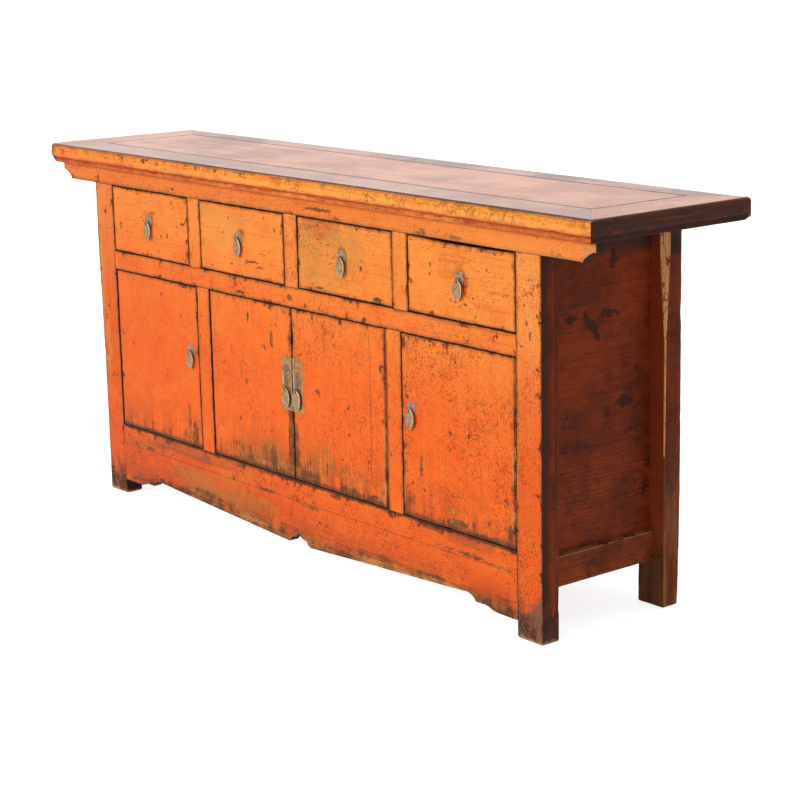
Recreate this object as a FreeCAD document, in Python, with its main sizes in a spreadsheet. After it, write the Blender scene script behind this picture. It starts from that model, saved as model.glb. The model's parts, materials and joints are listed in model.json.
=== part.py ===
import FreeCAD, Part
import math
import os
import Sketcher

# A lacquered sideboard with four drawers over four doors, built as its maker builds it.
# Millimetres. +X right, -Y front, +Z up. Origin: middle of the floor area that the top covers.

doc = FreeCAD.newDocument("Sideboard")

# Driving sizes. Each is a cell of the sheet, under its own alias.
SIZES = {
    # the whole piece
    "overall_length": 1960,
    "overall_depth": 442,
    "overall_height": 880,
    "front_overhang": 30,
    "back_overhang": 24,
    "end_overhang": 167,
    # top: a mitred frame round a floating panel
    "top_thickness": 46,
    "member_width": 104,
    "back_member_width": 78,
    "nose_round": 7,
    "nose_drop": 16,
    "nose_radius": 16,
    "bead_height": 31,
    "bead_return": 5,
    "bead_radius": 17,
    "groove_setback": 9,
    "groove_height": 3,
    "band_setback": 6,
    "band_return": 9,
    "band_radius": 9,
    "end_arris": 3,
    "end_chamfer_run": 8,
    "end_chamfer_rise": 16,
    "back_round": 15,
    "panel_thickness": 18,
    "tongue_thickness": 8,
    "tongue_length": 8,
    "seam_gap": 0.8,
    "top_batten_width": 40,
    # posts and front rails
    "post_width": 73,
    "post_depth": 46,
    "back_post_depth": 42,
    "top_rail_height": 42,
    "top_rail_thickness": 22,
    "top_rail_setback": 17,
    "rail_end_lip": 18,
    "rail_end_step": 6,
    "rail_end_cove": 28,
    "rail_end_foot": 4,
    "rail_end_radius": 34,
    "drawer_opening_height": 164,
    "mid_rail_height": 46,
    "leg_height": 134,
    "bottom_rail_height": 49,
    "rail_depth": 34,
    "tenon_length": 18,
    "tenon_thickness": 10,
    "tenon_margin": 2,
    # apron under the bottom rail
    "apron_thickness": 24,
    "apron_leg_floor": 37,
    "apron_foot": 74,
    "scallop_run": 28,
    "scallop_rise": 8,
    "scallop_flat": 26,
    "shoulder_run": 40,
    "shoulder_rise": 14.5,
    "shoulder_radius": 40,
    "apron_middle_floor": 31,
    "notch_half": 46,
    "notch_round": 18,
    "notch_wall": 11,
    "notch_radius": 16,
    "notch_ledge": 6,
    "notch_ledge_rise": 2,
    "notch_height": 24,
    "notch_cusp_radius": 24,
    # uprights between the drawers and between the doors
    "drawer_stile_width": 49,
    "door_stile_width": 50,
    "centre_opening": 662,
    # sides
    "side_rail_recess": 25,
    "side_rail_thickness": 30,
    "side_rail_drop": 30,
    "side_bottom_rail_height": 64,
    "side_top_rail_height": 34,
    "side_panel_recess": 41,
    "side_panel_thickness": 12,
    "groove_depth": 8,
    # back and bottom
    "back_rail_depth": 26,
    "back_board_thickness": 10,
    "back_board_inset": 8,
    "bottom_board_thickness": 12,
    "bottom_board_drop": 27,
    "board_gap": 0.5,
    # what the drawers run on
    "runner_thickness": 18,
    "runner_ledge": 18,
    "guide_height": 18,
    "stop_depth": 12,
    "stop_width": 16,
    # drawers
    "drawer_gap": 2,
    "drawer_front_thickness": 20,
    "drawer_back_room": 42,
    "drawer_side_thickness": 11,
    "drawer_side_height": 146,
    "drawer_bottom_thickness": 8,
    "drawer_bottom_rise": 8,
    "drawer_groove": 5,
    # doors, which turn on wooden pins
    "door_gap": 2,
    "meeting_gap": 4,
    "door_thickness": 22,
    "pivot_inset": 14,
    "pivot_setback": 10,
    "pin_radius": 5,
    "pin_length": 12,
    "door_lift": 14,
    "door_batten_width": 44,
    "door_batten_thickness": 14,
    "door_batten_inset": 32,
    "door_batten_margin": 48,
    # drop pulls
    "drawer_pull_rise": 88,
    "door_pull_lift": 38.5,
    "door_pull_edge": 31,
    "escutcheon_width": 28,
    "escutcheon_height": 33,
    "escutcheon_rise": 1,
    "plate_thickness": 1.5,
    "ring_radius": 4.5,
    "wire_radius": 1,
    "shank_radius": 1.6,
    "shank_length": 14,
    "drop_length": 39,
    "lock_drop_length": 44,
    "drop_width": 27,
    "drop_thickness": 2.4,
    "drop_shoulder": 15,
    "drop_shoulder_radius": 17,
    "drop_side_radius": 28,
    "drop_head": 10,
    "drop_head_radius": 6,
    "drop_tip": 8,
    "drop_tip_radius": 5,
    "eye_radius": 2,
    "eye_drop": 5.5,
    "eye_slack": 0.5,
    # lock plates on the pair of doors
    "lock_plate_width": 37,
    "lock_plate_height": 124,
    "lock_plate_lift": 84.5,
    "lock_ring_drop": 72,
    "staple_drop": 30,
    "staple_height": 33,
    "staple_width": 4,
    "staple_bar": 3.5,
    "staple_reach": 11,
    "staple_leg_length": 14,
    # clearances, and how far a cut runs past what it cuts
    "seat_gap": 0.3,
    "overrun": 6,
}

dims = doc.addObject("Spreadsheet::Sheet", "Dims")
for row, (alias, value) in enumerate(SIZES.items(), start=1):
    dims.set(f"A{row}", alias)
    dims.set(f"B{row}", str(value))
    dims.setAlias(f"B{row}", alias)
doc.recompute()


class Size:
    """A length worked out from the sheet, kept as an expression that FreeCAD can follow."""

    def __init__(self, text):
        self.text = text

    def __str__(self):
        return self.text

    def __add__(self, other):
        return Size(f"({self} + {other})")

    def __radd__(self, other):
        return Size(f"({other} + {self})")

    def __sub__(self, other):
        return Size(f"({self} - {other})")

    def __rsub__(self, other):
        return Size(f"({other} - {self})")

    def __mul__(self, factor):
        return Size(f"({self} * {factor})")

    __rmul__ = __mul__

    def __truediv__(self, divisor):
        return Size(f"({self} / {divisor})")

    def __neg__(self):
        return Size(f"(0 - {self})")

    @property
    def value(self):
        return float(dims.evalExpression(self.text))


def root(size):
    """The square root of a size."""
    return Size(f"sqrt({size})")


def size_value(size):
    """The number that a size, or a plain zero, stands for."""
    return size.value if isinstance(size, Size) else float(size)


class Sheet:
    """Gives each alias of the sheet as a Size."""

    def __getattr__(self, alias):
        if alias not in SIZES:
            raise AttributeError(alias)
        return Size(f"Dims.{alias}")


d = Sheet()

# Planes of the case, from the outside in
half_length = d.overall_length / 2
half_depth = d.overall_depth / 2
top = d.overall_height
front = d.front_overhang - half_depth
back = half_depth - d.back_overhang
case_half = half_length - d.end_overhang
post_inner = case_half - d.post_width
front_post_back = front + d.post_depth
back_post_front = back - d.back_post_depth

# Levels, from the top down to the doors and from the floor up to them
case_top = top - d.top_thickness
panel_floor = top - d.panel_thickness
drawer_top = case_top - d.top_rail_height
drawer_floor = drawer_top - d.drawer_opening_height
door_top = drawer_floor - d.mid_rail_height
rail_floor = d.leg_height
door_floor = rail_floor + d.bottom_rail_height
door_middle = (door_top + door_floor) / 2

# Planes of the inner pieces
top_rail_back_face = front + d.top_rail_thickness
rail_back_face = front + d.rail_depth
back_rail_front = back - d.back_rail_depth
back_board_back = back - d.back_board_inset
back_board_front = back_board_back - d.back_board_thickness
side_rail_outer = case_half - d.side_rail_recess
side_rail_inner = side_rail_outer - d.side_rail_thickness
side_panel_outer = case_half - d.side_panel_recess
side_panel_inner = side_panel_outer - d.side_panel_thickness
side_rail_floor = rail_floor - d.side_rail_drop
side_rail_top = side_rail_floor + d.side_bottom_rail_height
side_top_rail_floor = case_top - d.side_top_rail_height
bottom_board_top = door_floor - d.bottom_board_drop
bottom_board_floor = bottom_board_top - d.bottom_board_thickness
stile_half = d.drawer_stile_width / 2
drawer_width = (post_inner * 2 - d.drawer_stile_width * 3) / 4
drawer_pitch = drawer_width + d.drawer_stile_width
door_stile_inner = d.centre_opening / 2
door_stile_outer = door_stile_inner + d.door_stile_width

SIDES = {"left": -1, "right": 1}
PIECES = []


def keep(label, shape_object):
    """Names a finished sub-part, which is then written under that name."""
    shape_object.Label = label
    PIECES.append(shape_object)
    return shape_object


def place(item, x=0, y=0, z=0):
    """Binds the place of an object to sizes."""
    for axis, size in (("x", x), ("y", y), ("z", z)):
        item.setExpression(f"Placement.Base.{axis}", str(size))
    return item


def span(side, near, far):
    """The low and high end of a stretch that lies on one side of the middle plane."""
    return (near, far) if side > 0 else (-far, -near)


def box(name, x, y, z):
    """A box between a low and a high plane on each axis."""
    solid = doc.addObject("Part::Box", name)
    for length, (low, high) in (("Length", x), ("Width", y), ("Height", z)):
        solid.setExpression(length, str(high - low))
    return place(solid, x[0], y[0], z[0])


AXIS_TURNS = {
    "x": FreeCAD.Rotation(FreeCAD.Vector(0, 1, 0), 90),
    "y": FreeCAD.Rotation(FreeCAD.Vector(1, 0, 0), -90),
    "z": FreeCAD.Rotation(),
}


def rod(name, axis, radius, length, x, y, z):
    """A cylinder that starts at a point and runs up one axis."""
    solid = doc.addObject("Part::Cylinder", name)
    solid.Placement = FreeCAD.Placement(FreeCAD.Vector(), AXIS_TURNS[axis])
    solid.setExpression("Radius", str(radius))
    solid.setExpression("Height", str(length))
    return place(solid, x, y, z)


def fuse(name, solids):
    joined = doc.addObject("Part::MultiFuse", name)
    joined.Shapes = solids
    return joined


def group(name, solids):
    """Several separate solids that share one name."""
    together = doc.addObject("Part::Compound", name)
    together.Links = solids
    return together


def cut(name, solid, tools):
    """A solid less one or more others."""
    less = doc.addObject("Part::Cut", name)
    less.Base = solid
    less.Tool = tools[0] if len(tools) == 1 else group(name + "_tools", tools)
    return less


def meet(name, solid, other):
    """What two solids share."""
    shared = doc.addObject("Part::Common", name)
    shared.Base = solid
    shared.Tool = other
    return shared


def arc_between(start, end, radius, centre_on_left):
    """The short arc from one point to another, its centre on the left or the right of the way."""
    chord = end - start
    middle = (start + end) * 0.5
    offset = math.sqrt(radius ** 2 - (chord.Length / 2) ** 2)
    to_left = FreeCAD.Vector(-chord.y, chord.x, 0).normalize()
    centre = middle + to_left * (offset if centre_on_left else -offset)
    first, last = (start, end) if centre_on_left else (end, start)
    first_angle = math.atan2(first.y - centre.y, first.x - centre.x)
    last_angle = math.atan2(last.y - centre.y, last.x - centre.x)
    circle = Part.Circle(centre, FreeCAD.Vector(0, 0, 1), radius)
    return Part.ArcOfCircle(circle, first_angle, last_angle)


def outline_body(name, plane, corners, length):
    """A PartDesign body padded from a closed outline.

    A corner is (across, up). A third entry makes the edge that leaves it an arc: a pair of the
    side that the centre lies on, "left" or "right" of the way round, and the radius.
    """
    body = doc.addObject("PartDesign::Body", name)
    origin_plane = next(item for item in body.Origin.OriginFeatures if item.Role == plane)
    sketch = body.newObject("Sketcher::SketchObject", name + "_outline")
    sketch.AttachmentSupport = [(origin_plane, "")]
    sketch.MapMode = "FlatFace"
    points = [FreeCAD.Vector(size_value(c[0]), size_value(c[1]), 0) for c in corners]
    ends = []
    for index, corner in enumerate(corners):
        start = points[index]
        end = points[(index + 1) % len(points)]
        if len(corner) == 3:
            side, radius = corner[2]
            edge = sketch.addGeometry(arc_between(start, end, radius.value, side == "left"), False)
            rule = sketch.addConstraint(Sketcher.Constraint("Radius", edge, radius.value))
            sketch.setExpression(f"Constraints[{rule}]", str(radius))
            ends.append((edge, 1, 2) if side == "left" else (edge, 2, 1))
        else:
            edge = sketch.addGeometry(Part.LineSegment(start, end), False)
            ends.append((edge, 1, 2))
    for index, corner in enumerate(corners):
        edge, first, _ = ends[index]
        before, _, last = ends[index - 1]
        sketch.addConstraint(Sketcher.Constraint("Coincident", before, last, edge, first))
        for kind, size, number in (("DistanceX", corner[0], points[index].x),
                                   ("DistanceY", corner[1], points[index].y)):
            rule = sketch.addConstraint(Sketcher.Constraint(kind, -1, 1, edge, first, number))
            sketch.setExpression(f"Constraints[{rule}]", str(size))
    pad = body.newObject("PartDesign::Pad", name + "_pad")
    pad.Profile = sketch
    pad.setExpression("Length", str(length))
    body.Tip = pad
    return body


# Joints between pieces: each tenon and the mortise that takes it come from the same spans

# A tenon is narrower than its rail, so that it clears the grooves along the rail's edges
tenon_shoulder = d.groove_depth + d.tenon_margin


def tenon_across(side, face, y, z):
    """A tenon that runs outwards past an upright face, with its mortise."""
    far = face + d.tenon_length
    tenon = box("tenon", span(side, face, far), y, z)
    mortise = box("mortise", span(side, face - d.overrun, far + d.seat_gap), y, z)
    return tenon, mortise


def rail_tenon_depth(face, depth):
    """Where a tenon lies within the thickness of its rail."""
    near = face + (depth - d.tenon_thickness) / 2
    return near, near + d.tenon_thickness


def rail_tenon_height(low, high):
    """Where a tenon lies within the height of its rail."""
    return low + tenon_shoulder, high - tenon_shoulder


# Spans of the front and back rails, and what their tenons take up
front_rails = {
    "mid": (rail_tenon_depth(front, d.rail_depth), rail_tenon_height(door_top, drawer_floor)),
    "bottom": (rail_tenon_depth(front, d.rail_depth), rail_tenon_height(rail_floor, door_floor)),
    "apron": (rail_tenon_depth(front, d.apron_thickness),
              rail_tenon_height(d.apron_leg_floor, rail_floor)),
}
back_rail_levels = {
    "top": (drawer_top, case_top),
    "mid": (door_top, drawer_floor),
    "bottom": (rail_floor, door_floor),
}
back_rails = {
    name: (rail_tenon_depth(back_rail_front, d.back_rail_depth), rail_tenon_height(*levels))
    for name, levels in back_rail_levels.items()
}
side_rail_levels = {
    "top": (side_top_rail_floor, case_top),
    "bottom": (side_rail_floor, side_rail_top),
}
side_tenon_near = side_rail_inner + (d.side_rail_thickness - d.tenon_thickness) / 2
side_tenon_width = (side_tenon_near, side_tenon_near + d.tenon_thickness)


# Top

def plan_trapezoid(name, corners):
    """An upright prism that cuts a frame member to its mitres."""
    return place(outline_body(name, "XY_Plane", corners, d.top_thickness), z=case_top)


def frame_groove(name, x, y):
    """The groove that holds the panel's tongue."""
    return box(name, x, y, (panel_floor, panel_floor + d.tongue_thickness))


def edge_profile_front():
    """Thumbnail bead, groove and small band, from the lower front corner round."""
    nose = -half_depth
    inner = nose + d.member_width
    bead_floor = top - d.bead_height
    groove_floor = bead_floor - d.groove_height
    return [
        (nose + d.band_return, case_top),
        (inner, case_top),
        (inner, top),
        (nose + d.nose_round, top, ("left", d.nose_radius)),
        (nose, top - d.nose_drop, ("left", d.bead_radius)),
        (nose + d.bead_return, bead_floor),
        (nose + d.groove_setback, bead_floor),
        (nose + d.groove_setback, groove_floor),
        (nose + d.band_setback, groove_floor, ("left", d.band_radius)),
    ]


def edge_profile_end():
    """Plain face with an eased arris and a long chamfer below."""
    nose = -half_length
    inner = nose + d.member_width
    return [
        (nose + d.end_chamfer_run, case_top),
        (inner, case_top),
        (inner, top),
        (nose + d.end_arris, top, ("left", d.end_arris)),
        (nose, top - d.end_arris),
        (nose, case_top + d.end_chamfer_rise),
    ]


def edge_profile_back():
    """Round top corner and a small chamfer below, from the inner lower corner round."""
    inner = half_depth - d.back_member_width
    return [
        (inner, case_top),
        (half_depth - d.end_chamfer_run, case_top),
        (half_depth, case_top + d.end_chamfer_run),
        (half_depth, top - d.back_round, ("left", d.back_round)),
        (half_depth - d.back_round, top),
        (inner, top),
    ]


def build_top():
    panel_x = half_length - d.member_width
    panel_front = d.member_width - half_depth
    panel_back = half_depth - d.back_member_width
    groove_x = panel_x + d.tongue_length + d.seam_gap
    groove_front = panel_front - d.tongue_length - d.seam_gap
    groove_back = panel_back + d.tongue_length + d.seam_gap
    groove = frame_groove("top_groove", (-groove_x, groove_x), (groove_front, groove_back))

    front_bar = place(outline_body("front_bar", "YZ_Plane", edge_profile_front(), d.overall_length),
                      x=-half_length)
    front_plan = plan_trapezoid("front_plan", [
        (-half_length, -half_depth), (half_length, -half_depth),
        (panel_x, panel_front), (-panel_x, panel_front)])
    keep("top_frame_front", cut("front_member", meet("front_mitred", front_bar, front_plan), [groove]))

    back_bar = place(outline_body("back_bar", "YZ_Plane", edge_profile_back(), d.overall_length),
                     x=-half_length)
    back_plan = plan_trapezoid("back_plan", [
        (-half_length, half_depth), (-panel_x, panel_back),
        (panel_x, panel_back), (half_length, half_depth)])
    keep("top_frame_back", cut("back_member", meet("back_mitred", back_bar, back_plan), [groove]))

    for name, side in SIDES.items():
        bar = outline_body(f"{name}_bar", "YZ_Plane", edge_profile_end(), d.overall_depth)
        bar.Placement = FreeCAD.Placement(
            FreeCAD.Vector(), FreeCAD.Rotation(FreeCAD.Vector(0, 0, 1), side * 90))
        place(bar, y=half_depth * -side)
        plan = plan_trapezoid(f"{name}_plan", [
            (half_length * side, -half_depth), (half_length * side, half_depth),
            (panel_x * side, panel_back), (panel_x * side, panel_front)])
        keep(f"top_frame_{name}", cut(f"{name}_member", meet(f"{name}_mitred", bar, plan), [groove]))

    field_x = panel_x - d.seam_gap
    field = box("panel_field", (-field_x, field_x),
                (panel_front + d.seam_gap, panel_back - d.seam_gap), (panel_floor, top))
    tongue_x = panel_x + d.tongue_length
    tongue = box("panel_tongue", (-tongue_x, tongue_x),
                 (panel_front - d.tongue_length, panel_back + d.tongue_length),
                 (panel_floor, panel_floor + d.tongue_thickness))
    keep("top_panel", fuse("top_panel_solid", [field, tongue]))

    # Battens under the panel: one over each side frame, the others evenly between
    over_side = side_rail_inner + d.side_rail_thickness / 2
    middles = [over_side * -1, over_side * -0.5, over_side * 0, over_side * 0.5, over_side]
    half_batten = d.top_batten_width / 2
    battens = [box("top_batten", (middle - half_batten, middle + half_batten),
                   (panel_front, panel_back), (case_top, panel_floor)) for middle in middles]
    keep("top_battens", group("top_batten_set", battens))


# Posts

def side_mortise(post_face, into, side, name):
    """The mortise in a post for a side rail; into is -1 for a front post and 1 for a back post."""
    levels = rail_tenon_height(*side_rail_levels[name])
    inner_end = post_face + (d.tenon_length + d.seat_gap) * into
    y = (inner_end, post_face + d.overrun) if into < 0 else (post_face - d.overrun, inner_end)
    return box(f"{name}_side_mortise", span(side, *side_tenon_width), y, levels)


def panel_slot(post_face, into, side):
    """The groove in a post for the side panel."""
    inner_end = post_face + (d.groove_depth + d.seat_gap) * into
    y = (inner_end, post_face + d.overrun) if into < 0 else (post_face - d.overrun, inner_end)
    return box("panel_slot", span(side, side_panel_inner, side_panel_outer), y,
               (side_rail_top - d.groove_depth, side_top_rail_floor + d.groove_depth))


def build_posts():
    for name, side in SIDES.items():
        x = span(side, post_inner, case_half)
        post = box(f"front_post_{name}", x, (front, front_post_back), (0, case_top))
        tools = [box("top_rail_notch", span(side, post_inner - d.overrun, case_half + d.overrun),
                     (front - d.overrun, top_rail_back_face), (drawer_top, case_top + d.overrun))]
        tools += [tenon_across(side, post_inner, y, z)[1] for y, z in front_rails.values()]
        tools += [side_mortise(front_post_back, -1, side, level) for level in side_rail_levels]
        tools.append(panel_slot(front_post_back, -1, side))
        keep(f"post_front_{name}", cut(f"front_post_{name}_cut", post, tools))

        post = box(f"back_post_{name}", x, (back_post_front, back), (0, case_top))
        tools = [tenon_across(side, post_inner, y, z)[1] for y, z in back_rails.values()]
        tools += [side_mortise(back_post_front, 1, side, level) for level in side_rail_levels]
        tools.append(panel_slot(back_post_front, 1, side))
        tools.append(box("back_board_slot",
                         span(side, post_inner - d.overrun, post_inner + d.groove_depth + d.seat_gap),
                         (back_board_front, back_board_back),
                         (door_floor - d.groove_depth, drawer_top + d.groove_depth)))
        keep(f"post_back_{name}", cut(f"back_post_{name}_cut", post, tools))


# Front rails

def rail(name, y, z, tenons):
    """A rail between the posts with a tenon at each end."""
    parts = [box(f"{name}_body", (-post_inner, post_inner), y, z)]
    parts += [tenon_across(side, post_inner, *tenons)[0] for side in SIDES.values()]
    return fuse(f"{name}_tenoned", parts)


drawer_stile_middles = [drawer_pitch * -1, drawer_pitch * 0, drawer_pitch]
drawer_stile_tenon_y = rail_tenon_depth(front, d.top_rail_thickness)
door_stile_tenon_y = rail_tenon_depth(front, d.rail_depth)
door_stile_middles = [(door_stile_inner + d.door_stile_width / 2) * side for side in SIDES.values()]


def stile_mortise(middle, width, y, z):
    """The mortise in a rail for the tenon of an upright."""
    half = width / 2 - tenon_shoulder
    return box("stile_mortise", (middle - half, middle + half), y, z)


# Each door: the side of its hinge, and where its opening starts and ends
DOORS = {
    "left": (-1, -post_inner, -door_stile_outer),
    "centre_left": (-1, -door_stile_inner, 0 - d.meeting_gap / 2 + d.door_gap),
    "centre_right": (1, door_stile_inner, d.meeting_gap / 2 - d.door_gap),
    "right": (1, post_inner, door_stile_outer),
}


def pivot_of(door):
    """Where the axis of a door stands in plan."""
    side, hinge_line, _ = DOORS[door]
    return hinge_line - (d.door_gap + d.pivot_inset) * side, front + d.pivot_setback


def pivot_holes(low, depth):
    """The holes in a rail for the pins of all the doors."""
    holes = []
    for door in DOORS:
        x, y = pivot_of(door)
        holes.append(rod("pivot_hole", "z", d.pin_radius + d.seat_gap, depth, x, y, low))
    return holes


def build_front_rails():
    # The top rail lies in notches across the post heads and runs past them
    reach = half_length - d.top_rail_setback
    lip_floor = case_top - d.rail_end_lip
    cove_x = reach - d.rail_end_step - d.rail_end_cove
    cove_floor = drawer_top + d.rail_end_foot
    right_end = [
        (cove_x, drawer_top),
        (cove_x, cove_floor, ("right", d.rail_end_radius)),
        (reach - d.rail_end_step, lip_floor),
        (reach, lip_floor),
        (reach, case_top),
    ]
    left_end = [
        (-reach, case_top),
        (-reach, lip_floor),
        (d.rail_end_step - reach, lip_floor, ("right", d.rail_end_radius)),
        (-cove_x, cove_floor),
        (-cove_x, drawer_top),
    ]
    long_rail = outline_body("long_rail", "XZ_Plane", right_end + left_end, d.top_rail_thickness)
    place(long_rail, y=top_rail_back_face)
    tools = [stile_mortise(middle, d.drawer_stile_width, drawer_stile_tenon_y,
                           (drawer_top - d.overrun, drawer_top + d.tenon_length + d.seat_gap))
             for middle in drawer_stile_middles]
    keep("top_rail_front", cut("long_rail_cut", long_rail, tools))

    mid = rail("mid_rail", (front, rail_back_face), (door_top, drawer_floor), front_rails["mid"])
    tools = [stile_mortise(middle, d.drawer_stile_width, drawer_stile_tenon_y,
                           (drawer_floor - d.tenon_length - d.seat_gap, drawer_floor + d.overrun))
             for middle in drawer_stile_middles]
    tools += [stile_mortise(middle, d.door_stile_width, door_stile_tenon_y,
                            (door_top - d.overrun, door_top + d.tenon_length + d.seat_gap))
              for middle in door_stile_middles]
    tools += pivot_holes(door_top - d.overrun, d.overrun + d.pin_length + d.door_lift)
    keep("mid_rail_front", cut("mid_rail_cut", mid, tools))

    low = rail("bottom_rail", (front, rail_back_face), (rail_floor, door_floor), front_rails["bottom"])
    tools = [stile_mortise(middle, d.door_stile_width, door_stile_tenon_y,
                           (door_floor - d.tenon_length - d.seat_gap, door_floor + d.overrun))
             for middle in door_stile_middles]
    hole_depth = d.pin_length + d.seat_gap
    tools += pivot_holes(door_floor - hole_depth, hole_depth + d.overrun)
    tools.append(box("bottom_board_groove", (-post_inner, post_inner),
                     (rail_back_face - d.groove_depth, rail_back_face + d.overrun),
                     (bottom_board_floor, bottom_board_top)))
    keep("bottom_rail_front", cut("bottom_rail_cut", low, tools))


def build_apron():
    """The shaped board under the bottom rail: deep at the legs and the middle, with a cusp."""
    foot_x = post_inner - d.apron_foot
    flat_end = foot_x - d.scallop_run
    flat_start = flat_end - d.scallop_flat
    shoulder_x = flat_start - d.shoulder_run
    flat_floor = d.apron_leg_floor + d.scallop_rise
    shoulder_floor = flat_floor + d.shoulder_rise
    round_x = d.notch_half - d.notch_round
    ledge_x = round_x - d.notch_ledge
    wall_top = d.apron_middle_floor + d.notch_wall
    ledge_top = wall_top + d.notch_ledge_rise
    cusp = d.apron_middle_floor + d.notch_height
    right_half = [
        (ledge_x, ledge_top),
        (round_x, wall_top, ("left", d.notch_radius)),
        (d.notch_half, d.apron_middle_floor),
        (shoulder_x, shoulder_floor, ("right", d.shoulder_radius)),
        (flat_start, flat_floor),
        (flat_end, flat_floor),
        (foot_x, d.apron_leg_floor),
        (post_inner, d.apron_leg_floor),
        (post_inner, rail_floor),
    ]
    left_half = [
        (-post_inner, rail_floor),
        (-post_inner, d.apron_leg_floor),
        (-foot_x, d.apron_leg_floor),
        (-flat_end, flat_floor),
        (-flat_start, flat_floor, ("right", d.shoulder_radius)),
        (-shoulder_x, shoulder_floor),
        (-d.notch_half, d.apron_middle_floor, ("left", d.notch_radius)),
        (-round_x, wall_top),
        (-ledge_x, ledge_top, ("left", d.notch_cusp_radius)),
        (0, cusp, ("left", d.notch_cusp_radius)),
    ]
    board = outline_body("apron_board", "XZ_Plane", left_half + right_half, d.apron_thickness)
    place(board, y=front + d.apron_thickness)
    tenons = [tenon_across(side, post_inner, *front_rails["apron"])[0] for side in SIDES.values()]
    keep("apron_front", fuse("apron_tenoned", [board] + tenons))


def build_uprights():
    """The stiles between the drawers and between the doors."""
    for name, middle in zip(("left", "centre", "right"), drawer_stile_middles):
        body = box(f"drawer_stile_{name}_body", (middle - stile_half, middle + stile_half),
                   (front, top_rail_back_face), (drawer_floor, drawer_top))
        tenon = stile_mortise(middle, d.drawer_stile_width, drawer_stile_tenon_y,
                              (drawer_floor - d.tenon_length, drawer_top + d.tenon_length))
        keep(f"drawer_stile_{name}", fuse(f"drawer_stile_{name}_solid", [body, tenon]))
    for name, middle in zip(SIDES, door_stile_middles):
        half = d.door_stile_width / 2
        body = box(f"door_stile_{name}_body", (middle - half, middle + half),
                   (front, rail_back_face), (door_floor, door_top))
        tenon = stile_mortise(middle, d.door_stile_width, door_stile_tenon_y,
                              (door_floor - d.tenon_length, door_top + d.tenon_length))
        keep(f"door_stile_{name}", fuse(f"door_stile_{name}_solid", [body, tenon]))


# Sides

def build_sides():
    for name, side in SIDES.items():
        x = span(side, side_rail_inner, side_rail_outer)
        slot_x = span(side, side_panel_inner, side_panel_outer)
        for level, (low, high) in side_rail_levels.items():
            body = box(f"{level}_side_rail", x, (front_post_back, back_post_front), (low, high))
            tenon = box(f"{level}_side_tenon", span(side, *side_tenon_width),
                        (front_post_back - d.tenon_length, back_post_front + d.tenon_length),
                        rail_tenon_height(low, high))
            solid = fuse(f"{level}_side_rail_solid", [body, tenon])
            slot_z = ((high - d.groove_depth, high + d.overrun) if level == "bottom"
                      else (low - d.overrun, low + d.groove_depth))
            tools = [box("rail_slot", slot_x, (front_post_back - d.tenon_length,
                                               back_post_front + d.tenon_length), slot_z)]
            if level == "bottom":
                tools.append(box("board_slot",
                                 span(side, side_rail_inner - d.overrun,
                                      side_rail_inner + d.groove_depth),
                                 (front_post_back, back_post_front),
                                 (bottom_board_floor, bottom_board_top)))
            keep(f"side_{level}_rail_{name}", cut(f"{level}_side_rail_cut", solid, tools))
        keep(f"side_panel_{name}", box(
            f"side_panel_{name}_solid", slot_x,
            (front_post_back - d.groove_depth, back_post_front + d.groove_depth),
            (side_rail_top - d.groove_depth, side_top_rail_floor + d.groove_depth)))


# Back and bottom

def build_back():
    slots = {
        "top": [(drawer_top - d.overrun, drawer_top + d.groove_depth)],
        "mid": [(drawer_floor - d.groove_depth, drawer_floor + d.overrun),
                (door_top - d.overrun, door_top + d.groove_depth)],
        "bottom": [(door_floor - d.groove_depth, door_floor + d.overrun)],
    }
    for name, (low, high) in back_rail_levels.items():
        solid = rail(f"{name}_back_rail", (back_rail_front, back), (low, high), back_rails[name])
        tools = [box("board_slot", (-post_inner, post_inner),
                     (back_board_front, back_board_back), z) for z in slots[name]]
        if name == "bottom":
            tools.append(box("bottom_board_groove", (-post_inner, post_inner),
                             (back_rail_front - d.overrun, back_rail_front + d.groove_depth),
                             (bottom_board_floor, bottom_board_top)))
        keep(f"{name}_rail_back", cut(f"{name}_back_rail_cut", solid, tools))

    board_end = post_inner + d.groove_depth
    x = (-board_end, board_end)
    y = (back_board_front, back_board_back)
    low = door_floor - d.groove_depth
    high = door_top + d.groove_depth
    first_seam = low + (high - low) / 3
    second_seam = high - (high - low) / 3
    boards = [
        box("back_board_low", x, y, (low, first_seam)),
        box("back_board_middle", x, y, (first_seam + d.board_gap, second_seam)),
        box("back_board_high", x, y, (second_seam + d.board_gap, high)),
        box("back_board_drawers", x, y, (drawer_floor - d.groove_depth, drawer_top + d.groove_depth)),
    ]
    keep("back_boards", group("back_board_set", boards))


def build_bottom():
    """Two long boards in grooves all round, notched round the posts."""
    board_end = side_rail_inner + d.groove_depth
    board_front = rail_back_face - d.groove_depth
    board_back = back_rail_front + d.groove_depth
    seam = (board_front + board_back) / 2
    z = (bottom_board_floor, bottom_board_top)
    boards = []
    for name, y in (("front", (board_front, seam - d.board_gap / 2)),
                    ("back", (seam + d.board_gap / 2, board_back))):
        sheet = box(f"bottom_board_{name}", (-board_end, board_end), y, z)
        post_y = ((y[0] - d.overrun, front_post_back) if name == "front"
                  else (back_post_front, y[1] + d.overrun))
        notches = [box("post_notch", span(side, post_inner, board_end + d.overrun), post_y,
                       (z[0] - d.overrun, z[1] + d.overrun)) for side in SIDES.values()]
        boards.append(cut(f"bottom_board_{name}_cut", sheet, notches))
    keep("bottom_boards", group("bottom_board_set", boards))


# Runners, guides and stops for the drawers

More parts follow.
